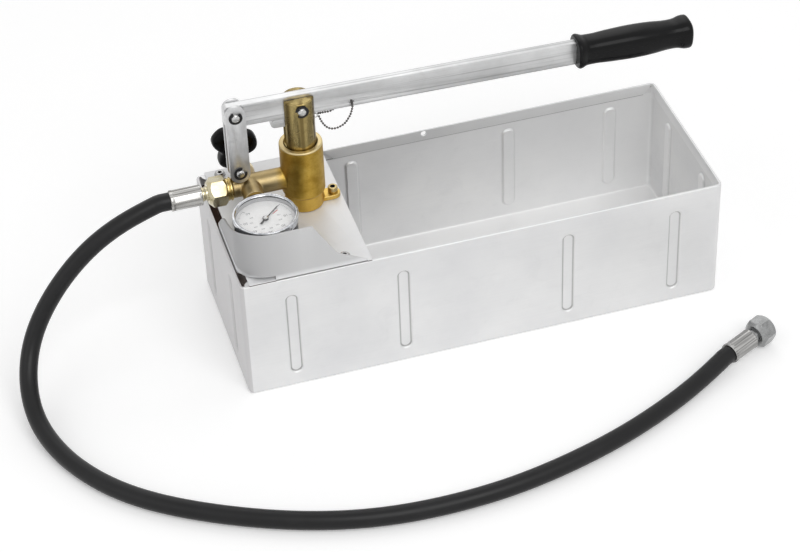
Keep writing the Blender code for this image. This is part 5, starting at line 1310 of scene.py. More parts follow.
def screw_places():
    return [
        (x, y)
        for x in (PLATE_LEFT + SCREW_FROM_LEFT, PLATE_RIGHT - SCREW_FROM_RIGHT)
        for y in (SCREW_FROM_FRONT - HALF_WIDTH, HALF_WIDTH - SCREW_FROM_REAR)
    ]


def foot_places():
    return (PUMP_X - FOOT_REACH, PUMP_X + FOOT_REACH)


# Cover plate

GUARD_EDGE = 0.0006
GUARD_EASE = 0.003
PLATE_EDGE = 0.0004


def guard_stations():
    """Upright lines along the guard: place, way inwards, and heights of its top and foot above the plate."""
    front, left = -HALF_WIDTH, -HALF_LENGTH + GUARD_OFF_WALL
    right = PLATE_RIGHT - GUARD_RIGHT_INSET
    relief = PLATE_LEFT + GUARD_RELIEF
    tail_end = right - GUARD_TAIL_RUN
    slope_end = tail_end - GUARD_SLOPE_RUN
    turn_x = left + GUARD_RADIUS
    stations = []
    ease = GUARD_EASE
    for x in [right] + list(np.linspace(right - ease / 2, tail_end + ease, 12)) + [tail_end]:
        share = (right - x) / (right - tail_end)
        stations.append(((x, front), (0, 1), SHEET + (GUARD_TAIL_HEIGHT - SHEET) * share, None))
    for x in list(np.linspace(tail_end, slope_end + ease, 10))[1:] + [slope_end + ease / 2, slope_end]:
        share = (tail_end - x) / (tail_end - slope_end)
        stations.append(
            ((x, front), (0, 1), GUARD_TAIL_HEIGHT + (GUARD_HEIGHT - GUARD_TAIL_HEIGHT) * share, None)
        )
    for x in np.linspace(slope_end, relief, 14)[1:]:
        stations.append(((x, front), (0, 1), GUARD_HEIGHT, None))
    stations.append(((relief - GAP, front), (0, 1), GUARD_HEIGHT, GUARD_FREE_EDGE))
    if turn_x < relief - 2 * GAP:
        stations.append(((turn_x, front), (0, 1), GUARD_HEIGHT, GUARD_FREE_EDGE))
    whole = GUARD_RADIUS + GUARD_SIDE_RUN
    for k in range(1, 25):
        angle = radians(270 - 90 * k / 24)
        at = (turn_x + GUARD_RADIUS * cos(angle), front + GUARD_RADIUS + GUARD_RADIUS * sin(angle))
        way = (at[1] - front) / whole
        stations.append((
            at, (-cos(angle), -sin(angle)),
            GUARD_HEIGHT * smooth_share(guard_rim_shares, way),
            GUARD_FREE_EDGE * smooth_share(guard_foot_shares, way),
        ))
    for way in np.linspace(GUARD_RADIUS / whole, 1.0, 40)[1:]:
        stations.append((
            (left, front + whole * way), (1, 0),
            GUARD_HEIGHT * smooth_share(guard_rim_shares, way),
            GUARD_FREE_EDGE * smooth_share(guard_foot_shares, way),
        ))
    return stations


def make_plate():
    sheet, outer = PLATE_SHEET, BEND_RADIUS
    bend = outer - sheet
    seam = outer + GAP
    fine, coarse = quarter(6)[1:], quarter(3)[::-1]
    rings = []
    for (x, y), (nx, ny), high, foot in guard_stations():
        top = PLATE_TOP + high
        edge = min(GUARD_EDGE, high / 4)
        if foot is None:
            lower = PLATE_BASE + outer
            line = [(0.0, lower)] + [(c, PLATE_BASE + s) for c, s in rounded(outer, fine)]
            line += [(seam, PLATE_BASE), (seam, PLATE_TOP)]
            line += [(sheet + c, PLATE_TOP + s) for c, s in rounded(bend, coarse)]
        else:
            floor = PLATE_TOP + foot
            line = [(0.0, floor + edge)] + [(c, floor + s) for c, s in rounded(edge, fine)]
            line += [(sheet * 0.45, floor), (sheet * 0.55, floor)]
            line += [(sheet - c, floor + s) for c, s in rounded(edge, coarse)]
        last = line[-1][1]
        line += [(sheet, max(top - edge, last + edge / 4))]
        line += [(sheet - c, top - s) for c, s in rounded(edge, (45, 90))]
        line += [(c, top - s) for c, s in rounded(edge, (90, 45))]
        line += [(0.0, max(top - edge, line[0][1] + edge / 4))]
        rings.append([(x + nx * inset, y + ny * inset, z) for inset, z in line])
    guard = loft("guard", rings)
    half = HALF_WIDTH
    relief, right = PLATE_LEFT + GUARD_RELIEF, PLATE_RIGHT - GUARD_RIGHT_INSET
    cut = -half + seam
    outline = [
        (PLATE_LEFT, -half), (relief - GAP, -half), (relief - GAP, cut), (right + GAP, cut),
        (right + GAP, -half),
        (PLATE_RIGHT, -half), (PLATE_RIGHT, half), (PLATE_LEFT, half),
    ]
    slab = prism("slab", outline, PLATE_BASE, PLATE_TOP)
    cuts = [rod(PLATE_SCREW_RADIUS + GAP, 0, 2 * PLATE_TOP, (*at, 0), "z", 24) for at in screw_places()]
    cuts += [rod(BODY_SCREW_RADIUS + GAP, 0, 2 * PLATE_TOP, (x, PUMP_Y, 0), "z", 24) for x in foot_places()]
    cuts.append(rod(BORE_FLOOR, 0, 2 * PLATE_TOP, (PUMP_X, PUMP_Y, 0), "z", 48))
    carve(slab, cuts)
    shape = bmesh.new()
    shape.from_mesh(slab.data)
    chosen = []
    for line in shape.edges:
        a, b = (v.co for v in line.verts)
        level = abs(a.z - b.z) < 1e-6
        outer_edge = all(
            min(abs(p.x - PLATE_LEFT), abs(p.x - PLATE_RIGHT), abs(p.y - half), abs(p.y + half)) < 1e-5
            for p in (a, b)
        )
        if level and outer_edge and (abs(a.x - b.x) < 1e-5 or abs(a.y - b.y) < 1e-5):
            chosen.append(line)
    bmesh.ops.bevel(shape, geom=chosen, offset=PLATE_EDGE, segments=2, profile=0.5, affect="EDGES")
    shape.to_mesh(slab.data)
    shape.free()
    dress(merge("cover", [slab, guard]), "plate", "base", ("cover_plate",), 32.0)


# Castings and turned parts

CAST_GRAIN = 0.0005
CAST_ROUND = 0.0012
PISTON_EDGE = 0.00035
CLIP_EDGE = 0.00018
LINK_EDGE = 0.0004
LEVER_EDGE = 0.0007
LOCK_EDGE = 0.0006
GRIP_ROUND = 0.0012


def make_body():
    """The casting: rough shapes melted into one skin, then machined."""
    at = BODY_AT
    inside = BODY_RADIUS / 2
    cast = [
        place(lathe("barrel", [
            (0, 0), (BASE_RADIUS, 0), (BASE_RADIUS, BASE_HEIGHT), (BODY_RADIUS, BASE_HEIGHT + BODY_CHAMFER),
            (BODY_RADIUS, BODY_HEIGHT), (0, BODY_HEIGHT),
        ], 96, CAST_ROUND), at),
        place(lathe("arm", [
            (0, inside), (ARM_RADIUS, inside), (ARM_RADIUS, ARM_REACH),
            (NECK_RADIUS, ARM_REACH + ARM_RADIUS - NECK_RADIUS),
            (NECK_RADIUS, ARM_REACH + NECK_LENGTH), (0, ARM_REACH + NECK_LENGTH),
        ], 64), ARM_AT, "-x"),
    ]
    for reach, way in ((GAUGE_BOSS_REACH, "-y"), (VALVE_BOSS_REACH, "y")):
        cast.append(rod(BOSS_RADIUS, 0, reach, CROSS_AT, way, 64))
    for x, way in zip(foot_places(), (-1, 1)):
        outline = arc((x, PUMP_Y), FOOT_WIDTH / 2, 90, -90 if way > 0 else 270, 24)
        outline += [(PUMP_X, PUMP_Y - FOOT_WIDTH / 2), (PUMP_X, PUMP_Y + FOOT_WIDTH / 2)]
        cast.append(prism("foot", outline, BODY_BASE, BODY_BASE + FOOT_THICKNESS))
    pin_up = LINK_PIN_Z - ARM_Z
    lug = [(-LUG_WIDTH / 2, 0), (LUG_WIDTH / 2, 0)] + arc((0, pin_up), LUG_WIDTH / 2, 0, 180, 24)
    cast.append(prism("lug", lug, -LUG_THICKNESS / 2, LUG_THICKNESS / 2, (LINK_X, PUMP_Y, ARM_Z), "-y"))
    body = merge("casting", cast)
    melt = body.modifiers.new("melt", "REMESH")
    melt.mode = "VOXEL"
    melt.voxel_size = CAST_GRAIN
    relax = body.modifiers.new("relax", "SMOOTH")
    relax.factor = 0.5
    relax.iterations = 14
    apply(body)
    cuts = [
        place(lathe("bore", [
            (0, BORE_FLOOR), (BORE_RADIUS, BORE_FLOOR), (BORE_RADIUS, 2 * BODY_HEIGHT), (0, 2 * BODY_HEIGHT),
        ], 96, 0.0), at),
        place(lathe("mouth", [
            (0, BODY_HEIGHT - 2 * BODY_CHAMFER), (BORE_RADIUS, BODY_HEIGHT - BODY_CHAMFER),
            (BORE_RADIUS + 2 * BODY_CHAMFER, BODY_HEIGHT + BODY_CHAMFER), (0, BODY_HEIGHT + BODY_CHAMFER),
        ], 96, 0.0), at),
        rod(SOCKET_RADIUS, ARM_REACH, 2 * ARM_REACH, ARM_AT, "-x", 48),
        rod(SOCKET_RADIUS, GAUGE_BOSS_REACH - SOCKET_DEPTH, 2 * GAUGE_BOSS_REACH, CROSS_AT, "-y", 48),
        rod(SOCKET_RADIUS, VALVE_BOSS_REACH - SOCKET_DEPTH, 2 * VALVE_BOSS_REACH, CROSS_AT, "y", 48),
        rod(PIN_RADIUS + GAP, -LUG_THICKNESS, LUG_THICKNESS, (LINK_X, PUMP_Y, LINK_PIN_Z), "y", 48),
    ]
    for x in foot_places():
        cuts.append(rod(
            BODY_SCREW_RADIUS + GAP, -FOOT_THICKNESS, 2 * FOOT_THICKNESS, (x, PUMP_Y, BODY_BASE), "z", 32,
        ))
    carve(body, cuts)
    dress(body, "cast", "base", ("pump_body",), 40.0)


def make_piston():
    at = (PUMP_X, PUMP_Y, 0)
    top = LEVER_Z + EAR_ABOVE_AXIS
    low_piston = frame["nodes"]["piston"]
    foot = min(v.co.z for v in low_piston.data.vertices)
    piston = place(lathe("plunger", [
        (0, foot), (PISTON_RADIUS, foot), (PISTON_RADIUS, top - EAR_CHAMFER),
        (PISTON_RADIUS - EAR_CHAMFER, top), (0, top),
    ], 96, 0.0004), at)
    slot = link_box(
        (-2 * PISTON_RADIUS, -SLOT_WIDTH / 2, LEVER_Z - SLOT_BELOW_AXIS),
        (2 * PISTON_RADIUS, SLOT_WIDTH / 2, top + SLOT_WIDTH),
    )
    move(slot, Matrix.Translation(at))
    hole = rod(PIN_RADIUS + GAP, -2 * PISTON_RADIUS, 2 * PISTON_RADIUS, LEVER_AT, "y", 48)
    carve(piston, [slot, hole])
    bevel(piston, PISTON_EDGE, 2, 50.0)
    dress(piston, "piston", "piston", ("piston",), 40.0)


def link_box(low, high):
    outline = [(low[0], low[1]), (high[0], low[1]), (high[0], high[1]), (low[0], high[1])]
    return prism("box", outline, low[2], high[2])


def clip(at, way, turn):
    """A retaining ring with three lugs that reach the pin's groove, and a mouth between two of them."""
    bore, groove = PIN_RADIUS + 0.0004, CLIP_SEAT + GAP
    inner, outer = [], []
    steps = 72
    for k in range(steps + 1):
        angle = CLIP_OPENING / 2 + (360 - CLIP_OPENING) * k / steps
        lug = max(cos(radians(3 * (angle - 180))), 0.0) ** 6
        seat = bore + (groove - bore) * min(1.0, 1.6 * lug)
        spot = radians(angle + turn)
        inner.append(polar(seat, spot))
        outer.append(polar(CLIP_RADIUS, spot))
    outline = outer + inner[::-1]
    start, end = at[1], at[1] + way * CLIP_THICKNESS
    rings = [[(at[0] + x, y, at[2] + z) for x, z in outline] for y in (start, end)]
    return bevel(loft("clip", rings), CLIP_EDGE, 2, 40.0)


def pin_set(body, pin, at, half, clips, turn):
    """A grooved pin along Y with a retaining ring at each end."""
    inner = half + GAP / 2
    groove = CLIP_THICKNESS + GAP / 2
    end = inner + groove + PIN_STAND_OUT - CLIP_THICKNESS
    side = [
        (PIN_RADIUS, inner), (CLIP_SEAT, inner + GAP), (CLIP_SEAT, inner + groove),
        (PIN_RADIUS, inner + groove + GAP),
        (PIN_RADIUS, end - 2 * GAP), (PIN_RADIUS - 3 * GAP, end), (PIN_RADIUS / 3, end + GAP),
        (0, end + GAP),
    ]
    profile = [(r, -h) for r, h in side[::-1]] + side
    made = place(lathe("pin", profile, 48, 0.0002), at, "y")
    dress(made, "bright", body, (pin,))
    made.name = pin + "_turned"
    for name, way in zip(clips, (-1, 1)):
        ring = clip((at[0], at[1] + way * (inner + GAP / 4), at[2]), way, turn)
        ring.name = name + "_ring"
        dress(ring, "clip", frame_body(name), (name,))


def frame_body(node):
    for body, nodes in frame["record"]["behaviour"]["bodies"].items():
        if node in nodes:
            return body
    return "base"


def make_linkage():
    for name, side in (("link_front", -1), ("link_rear", 1)):
        high = LINK_TOP_Z - LINK_PIN_Z + LINK_OVERRUN
        near = SLOT_WIDTH / 2 + GAP / 2
        plate = prism(
            "plate", capsule(-LINK_FOOT_OVERRUN, high, LINK_WIDTH / 2, 28), 0, LINK_THICKNESS, axis="-y",
        )
        off = -near if side < 0 else near + LINK_THICKNESS
        move(plate, Matrix.Translation((LINK_X, PUMP_Y + off, LINK_PIN_Z)))
        carve(plate, [
            rod(PIN_RADIUS + GAP, -2 * SLOT_WIDTH, 2 * SLOT_WIDTH, (LINK_X, PUMP_Y, z), "y", 40)
            for z in (LINK_PIN_Z, LINK_TOP_Z)
        ])
        bevel(plate, LINK_EDGE)
        plate.name = name + "_plate"
        dress(plate, "link", "links", (name,))
    half = SLOT_WIDTH / 2 + GAP / 2 + LINK_THICKNESS
    pin_set(
        "links", "link_pin_top", (LINK_X, PUMP_Y, LINK_TOP_Z), half,
        ("clip_link_top_front", "clip_link_top_rear"), 80,
    )
    pin_set(
        "base", "link_pin_foot", (LINK_X, PUMP_Y, LINK_PIN_Z), half,
        ("clip_link_foot_front", "clip_link_foot_rear"), 40,
    )
    pin_set(
        "piston", "piston_pin", LEVER_AT, PISTON_RADIUS,
        ("clip_piston_front", "clip_piston_rear"), 200,
    )


def make_lever():
    half = LEVER_DEPTH / 2
    left = -LINK_FROM_AXIS / cos(radians(LEVER_TILT)) - LEVER_TAIL
    right = GRIP_START + GRIP_LENGTH / 2
    outline = arc((left + LEVER_CORNER, half - LEVER_CORNER), LEVER_CORNER, 180, 90, 10)
    outline += [(right, half * 0.7), (right, -half * 0.7)]
    outline[11:11] = [(GRIP_START - GAP, half), (GRIP_START - GAP, half * 0.7)]
    outline += [(GRIP_START - GAP, -half * 0.7), (GRIP_START - GAP, -half)]
    outline += arc((left + LEVER_CORNER, -half + LEVER_CORNER), LEVER_CORNER, 270, 180, 10)
    bar = prism("bar", outline, -LEVER_THICKNESS / 2, LEVER_THICKNESS / 2)
    move(bar, Matrix.Rotation(pi / 2, 4, "X"))
    reach = LEVER_THICKNESS
    carve(bar, [
        rod(PIN_RADIUS + LINK_PLAY, -reach, reach, (left + LEVER_TAIL, 0, LINK_PIN_ABOVE_BAR), "y", 48),
        rod(PIN_RADIUS + GAP, -reach, reach, (0, 0, 0), "y", 40),
        rod(
            CHAIN_HOLE_RADIUS, -reach, reach, (CHAIN_HOLE_FROM_AXIS, 0, -half + CHAIN_HOLE_ABOVE_EDGE),
            "y", 32,
        ),
    ])
    bevel(bar, LEVER_EDGE)
    bar.name = "lever_bar"
    dress(move(bar, lever_frame()), "bar", "lever", ("lever",))

    profile = [(0.0, 0.0)]
    for k in range(65):
        share = k / 64
        share = 0.5 * share + 0.5 * (1 - cos(pi * share)) / 2
        profile.append((GRIP_RADIUS * smooth_share(grip_shares, share), GRIP_LENGTH * share))
    profile.append((0.0, GRIP_LENGTH))
    rings = []
    for radius, reach in eased(profile, GRIP_ROUND)[1:-1]:
        ring = []
        for k in range(72):
            across, up = cos(pi * k / 36), sin(pi * k / 36)
            across = copysign(abs(across) ** GRIP_SECTION, across)
            up = copysign(abs(up) ** GRIP_SECTION, up)
            ring.append((GRIP_FLATTER * radius * across, GRIP_FLATTER * radius * up, reach))
        rings.append(ring)
    grip = place(loft("handle", rings), (GRIP_START, 0, 0), "x")
    dress(move(grip, lever_frame()), "plastic", "lever", ("grip",), 50.0)


def make_lock():
    half = LEVER_DEPTH / 2
    middle = -half - LOCK_BELOW_LEVER - LOCK_DEPTH / 2
    r = LOCK_DEPTH / 2
    left = -LOCK_LEFT_OF_AXIS
    right = left + LOCK_LENGTH
    corner = r / 2
    outline = arc((left + r, middle), r, 270, 90, 20) + arc(
        (right - corner, middle + r - corner), corner, 90, 0, 6,
    )
    outline += arc((right - corner, middle - r + corner), corner, 0, -90, 6)
    bar = prism("bar", outline, -LOCK_THICKNESS / 2, LOCK_THICKNESS / 2)
    move(bar, Matrix.Rotation(pi / 2, 4, "X"))
    hole_x = right - LOCK_HOLE_FROM_END
    carve(bar, [rod(LOCK_HOLE_RADIUS, -LOCK_THICKNESS, LOCK_THICKNESS, (hole_x, 0, middle), "y", 32)])
    bevel(bar, LOCK_EDGE)
    bar.name = "lock_pin"
    dress(move(bar, lever_frame()), "bar", "lock", ("lock_bar",))
    ring_x = hole_x + RING_RADIUS + RING_WIRE + GAP - LOCK_HOLE_RADIUS
    rings = []
    for k in range(48):
        angle = 2 * pi * k / 48
        ring = []
        for s in range(12):
            bend = 2 * pi * s / 12
            reach = RING_RADIUS + RING_WIRE * cos(bend)
            ring.append((ring_x + reach * cos(angle), reach * sin(angle), middle + RING_WIRE * sin(bend)))
        rings.append(ring)
    loop = loft("split_ring", rings, closed=True)
    dress(move(loop, lever_frame()), "bright", "lock", ("lock_ring",), 60.0)


def socket_screw(name, profile, across, depth, at, look):
    """A turned screw with a hexagon socket, whose inside is painted near black as shade."""
    body = place(lathe(name + "_turned", profile, 56, 0.0003), at)
    top = max(point[1] for point in profile)
    carve(body, [prism("socket", hexagon(across), top - depth, 2 * top, at)])
    dress(body, look, "base", (name,))
    # Painted shade: the socket's inside faces take a near-black finish
    body.data.materials.append(looks["socket"])
    reach = across / sqrt(3) + GAP
    for face in body.data.polygons:
        here = face.center - Vector(at)
        if hypot(here.x, here.y) < reach and top - depth - GAP < here.z < top - GAP:
            face.material_index = 1


def make_screws():
    names = (
        "plate_screw_front_left", "plate_screw_rear_left", "plate_screw_front_right",
        "plate_screw_rear_right",
    )
    head, high = PLATE_SCREW_HEAD, PLATE_SCREW_HEAD_HEIGHT
    profile = [(0, -PLATE_SCREW_LENGTH), (PLATE_SCREW_RADIUS, -PLATE_SCREW_LENGTH), (PLATE_SCREW_RADIUS, 0)]
    profile += [
        (head, 0), (head, high * 0.3), (head * 0.93, high * 0.62), (head * 0.80, high * 0.86),
        (head * 0.64, high), (0, high),
    ]
    for name, at in zip(names, screw_places()):
        socket_screw(name, profile, HEX_SOCKET, high * 0.7, (*at, PLATE_TOP + GAP), "screw")
    head, high = BODY_SCREW_HEAD, BODY_SCREW_HEAD_HEIGHT
    depth = FOOT_THICKNESS + PLATE_SHEET + SHEET
    profile = [(0, -depth), (BODY_SCREW_RADIUS, -depth), (BODY_SCREW_RADIUS, 0), (head, 0)]
    profile += [(head, high - 2 * GAP), (head - 2 * GAP, high), (0, high)]
    for name, x in zip(("body_screw_left", "body_screw_right"), foot_places()):
        at = (x, PUMP_Y, BODY_BASE + FOOT_THICKNESS + GAP)
        socket_screw(name, profile, 2 * BODY_SCREW_SOCKET, high / 2, at, "gilt")


# Gauge: its ticks and figures reach in from the dial's rim

PRINT_LIFT = 0.00002
PRINT_DEPTH = 0.00004
TICK_INSET = 0.0022
PLAIN_TICK = 0.0038
FIFTH_TICK = 0.0047
TENTH_TICK = 0.0060
WIDE_TICK = 0.00055
NARROW_TICK = 0.00030
FIGURE_SIZE = 0.0045
FIGURE_INSET = 0.0093
INNER_FIGURE_SIZE = 0.0024
INNER_FIGURE_INSET = 0.0150
INNER_SCALE_TOP = 850
RED_MARK = (NEEDLE_ANGLE - 8.0, 0.0110, 0.0185, 0.0008)


def digits(text, size, at):
    """A figure of the dial as a thin closed mesh, its top towards -Y."""
    curve = bpy.data.curves.new("figure", "FONT")
    curve.body = text
    curve.size = size
    curve.align_x = "CENTER"
    curve.align_y = "CENTER"
    curve.extrude = PRINT_DEPTH
    curve.resolution_u = 4
    obj = linked("figure", curve)
    graph = bpy.context.evaluated_depsgraph_get()
    mesh = bpy.data.meshes.new_from_object(obj.evaluated_get(graph))
    bpy.data.objects.remove(obj)
    return move(linked("figure", mesh), Matrix.Translation(at) @ Matrix.Rotation(pi, 4, "Z"))


def tick(angle, near, far, width, height):
    bar = link_box((near, -width / 2, height), (far, width / 2, height + 2 * PRINT_DEPTH))
    return move(bar, Matrix.Rotation(radians(angle), 4, "Z"))


def make_gauge():
    at = (CROSS_X, GAUGE_Y, GAUGE_FLOOR)
    well = GAUGE_DEPTH - GAUGE_WELL
    edge = 2 * GAUGE_WALL
    case = place(lathe("can", [
        (0, 0), (GAUGE_RADIUS - edge, 0), (GAUGE_RADIUS, edge), (GAUGE_RADIUS, GAUGE_DEPTH),
        (GAUGE_RADIUS - GAUGE_WALL, GAUGE_DEPTH), (GAUGE_RADIUS - GAUGE_WALL, well), (0, well),
    ], 96, 0.0006), at)
    dress(case, "case", "base", ("gauge_case",))
    case.data.materials.append(looks["lining"])
    middle = Vector((CROSS_X, GAUGE_Y))
    for wall in case.data.polygons:
        if wall.center.z > GAUGE_FLOOR + well - GAP and wall.normal.xy.dot(middle - wall.center.xy) > 0:
            wall.material_index = 1
    dial_low = well + GAP
    face = dial_low + DIAL_THICKNESS
    rim = GAUGE_RADIUS - GAUGE_WALL - GAP
    dial = place(lathe("face", [
        (ARBOR_RADIUS + GAP, dial_low), (rim, dial_low), (rim, face), (ARBOR_RADIUS + GAP, face),
    ], 96, 0.0002), at)
    dress(dial, "dial", "base", ("gauge_dial",))
    print_height = face + PRINT_LIFT
    marks = []
    for step in range(SCALE_TOP + 1):
        angle = NEEDLE_ANGLE - SCALE_SWEEP * step / SCALE_TOP
        tenth, fifth = step % 10 == 0, step % 5 == 0
        near = rim - (TENTH_TICK if tenth else FIFTH_TICK if fifth else PLAIN_TICK)
        width = WIDE_TICK if tenth else NARROW_TICK
        marks.append(tick(angle, near, rim - TICK_INSET, width, print_height))
    outer = [(step, FIGURE_SIZE, FIGURE_INSET, SCALE_TOP) for step in range(0, SCALE_TOP + 1, 10)]
    inner = [(step, INNER_FIGURE_SIZE, INNER_FIGURE_INSET, INNER_SCALE_TOP) for step in range(0, 801, 100)]
    for step, size, inset, top in outer + inner:
        spot = polar(rim - inset, radians(NEEDLE_ANGLE - SCALE_SWEEP * step / top))
        marks.append(digits(str(step), size, (*spot, print_height)))
    printed = merge("dial_figures", marks)
    dress(move(printed, Matrix.Translation(at)), "print", "base", ())
    red = tick(*RED_MARK, print_height)
    dress(move(merge("dial_red", [red]), Matrix.Translation(at)), "mark", "base", ())
    lens_low = GAUGE_DEPTH + GAP
    lens = place(lathe("glass", [
        (0, lens_low), (GAUGE_RADIUS - GAP, lens_low), (GAUGE_RADIUS - GAP, lens_low + LENS_THICKNESS),
        (0, lens_low + LENS_THICKNESS),
    ], 96, 0.0002), at)
    dress(lens, "lens", "base", ("gauge_lens",))
    top = lens_low + LENS_THICKNESS + GAP
    foot = top + BEZEL_TOP - BEZEL_HEIGHT
    inner = GAUGE_RADIUS + GAP
    lip = GAUGE_RADIUS - BEZEL_LIP
    rim_round = BEZEL_TOP
    ring = place(lathe("bezel", [
        (inner, foot), (BEZEL_RADIUS, foot), (BEZEL_RADIUS, top + BEZEL_TOP),
        (lip + rim_round, top + BEZEL_TOP), (lip, top), (inner, top),
    ], 128, 0.0009), at)
    dress(ring, "chrome", "base", ("gauge_bezel",))
    needle_low = face + 3 * GAP
    shape = [
        (-NEEDLE_TAIL, NEEDLE_WIDTH), (-NEEDLE_TAIL, -NEEDLE_WIDTH), (-NEEDLE_HUB / 2, -NEEDLE_WIDTH / 2),
        (NEEDLE_REACH, -NEEDLE_WIDTH / 3), (NEEDLE_REACH, NEEDLE_WIDTH / 3),
        (-NEEDLE_HUB / 2, NEEDLE_WIDTH / 2),
    ]
    pointer = prism("blade", shape, needle_low, needle_low + NEEDLE_THICKNESS / 2)
    hub = lathe("hub", [
        (0, well - GAUGE_WALL), (ARBOR_RADIUS, well - GAUGE_WALL), (ARBOR_RADIUS, needle_low - GAP),
        (NEEDLE_HUB, needle_low - GAP),
        (NEEDLE_HUB, needle_low + 3 * NEEDLE_THICKNESS),
        (NEEDLE_HUB / 2, needle_low + 4 * NEEDLE_THICKNESS), (0, needle_low + 4 * NEEDLE_THICKNESS),
    ], 40, 0.0003)
    pointer = merge("pointer", [pointer, hub])
    move(pointer, Matrix.Translation(at) @ Matrix.Rotation(radians(NEEDLE_ANGLE), 4, "Z"))
    dress(pointer, "needle", "needle", ("gauge_needle",))
    pointer.data.materials.append(looks["bright"])
    for cap in pointer.data.polygons:
        if cap.center.z > GAUGE_FLOOR + needle_low + 3.2 * NEEDLE_THICKNESS:
            cap.material_index = 1


# Valve

def make_valve():
    at = CROSS_AT
    hexed = VALVE_BOSS_REACH + GAP + BONNET_HEX_LENGTH
    foot = hexed + BONNET_LENGTH + SPINDLE_OUT - KNOB_BORE_DEPTH
    start = foot + KNOB_HUB_LENGTH
    count = 144
    rings = []
    profile = [
        (KNOB_LOW, 0.70), (-0.05, 0.86), (0.06, 0.94), (0.22, 0.985), (0.40, 1.0), (0.62, 1.0),
        (0.80, 0.98), (0.92, 0.93), (0.98, 0.86), (1.0, 0.78),
    ]
    mean, swing = (KNOB_RADIUS + SEEN_VALLEY) / 2, (KNOB_RADIUS - SEEN_VALLEY) / 2
    for k in range(41):
        share = KNOB_LOW + (1.0 - KNOB_LOW) * k / 40
        scale = smooth_share(profile, share)
        ring = []
        for c in range(count):
            angle = 2 * pi * c / count
            lobe = cos(3 * (angle - radians(KNOB_TURN)))
            radius = (mean + swing * (1 - 2 * ((1 - lobe) / 2) ** 2) * min(1.0, scale)) * scale
            ring.append((*polar(radius, angle), start + KNOB_THICKNESS * share))
        rings.append(ring)
    lobes = loft("lobes", rings)
    hub = lathe("hub", [
        (0, foot), (KNOB_HUB_RADIUS, foot), (KNOB_HUB_RADIUS, start + KNOB_THICKNESS / 2),
        (0, start + KNOB_THICKNESS / 2),
    ], 64, 0.0008)
    carve(lobes, [hub], "UNION")
    dish = lathe("dish", [
        (0, start + KNOB_THICKNESS * 0.93), (KNOB_VALLEY * 0.62, start + KNOB_THICKNESS * 0.93),
        (KNOB_VALLEY * 0.70, start + KNOB_THICKNESS * 1.2), (0, start + KNOB_THICKNESS * 1.2),
    ], 64, 0.0004)
    bore = lathe("bore", [
        (0, -foot), (SPINDLE_RADIUS + GAP, -foot), (SPINDLE_RADIUS + GAP, foot + KNOB_BORE_DEPTH),
        (0, foot + KNOB_BORE_DEPTH),
    ], 40, 0.0)
    carve(lobes, [dish, bore])
    lobes.name = "star_knob"
    dress(place(lobes, at, "y"), "knob", "knob", ("valve_knob",), 45.0)
    bonnet = hex_blank("bonnet_hex", BONNET_HEX, VALVE_BOSS_REACH + GAP, hexed, BONNET_CHAMFER)
    grooved = BONNET_RADIUS - BONNET_GROOVE
    barrel = lathe("bonnet_barrel", [
        (SPINDLE_RADIUS + GAP, hexed - GAP), (BONNET_RADIUS, hexed - GAP),
        (BONNET_RADIUS, hexed + BONNET_LENGTH * 0.62),
        (grooved, hexed + BONNET_LENGTH * 0.66), (grooved, hexed + BONNET_LENGTH * 0.72),
        (BONNET_RADIUS, hexed + BONNET_LENGTH * 0.76), (BONNET_RADIUS, hexed + BONNET_LENGTH),
        (SPINDLE_RADIUS + GAP, hexed + BONNET_LENGTH),
    ], 56, 0.0003)
    carve(bonnet, [rod(SPINDLE_RADIUS + GAP, 0, 2 * hexed, (0, 0, 0), "z", 40)])
    whole = place(merge("bonnet", [bonnet, barrel]), at, "y")
    dress(whole, "turned", "base", ("valve_bonnet",))
    tip = VALVE_BOSS_REACH - SOCKET_DEPTH + 2 * GAP
    end = hexed + BONNET_LENGTH + SPINDLE_OUT - GAP
    stem = place(lathe("stem", [
        (0, tip), (SPINDLE_RADIUS, tip + 2 * SPINDLE_RADIUS), (SPINDLE_RADIUS, end), (0, end),
    ], 40), at, "y")
    dress(stem, "bright", "knob", ("valve_spindle",))


def hex_blank(name, across, low, high, chamfer):
    """A hexagon bar whose ends are turned to a cone, which leaves curved chamfers on its flats."""
    blank = prism(name, hexagon(across), low, high)
    corner = across / sqrt(3)
    limit = across / 2
    cone = lathe("cone", [
        (0, low - GAP), (limit - GAP, low - GAP), (limit, low), (corner + GAP, low + chamfer),
        (corner + GAP, high - chamfer), (limit, high), (limit - GAP, high + GAP), (0, high + GAP),
    ], 96, 0.0)
    return carve(blank, [cone], "INTERSECT")


# Hose fittings and the suction side

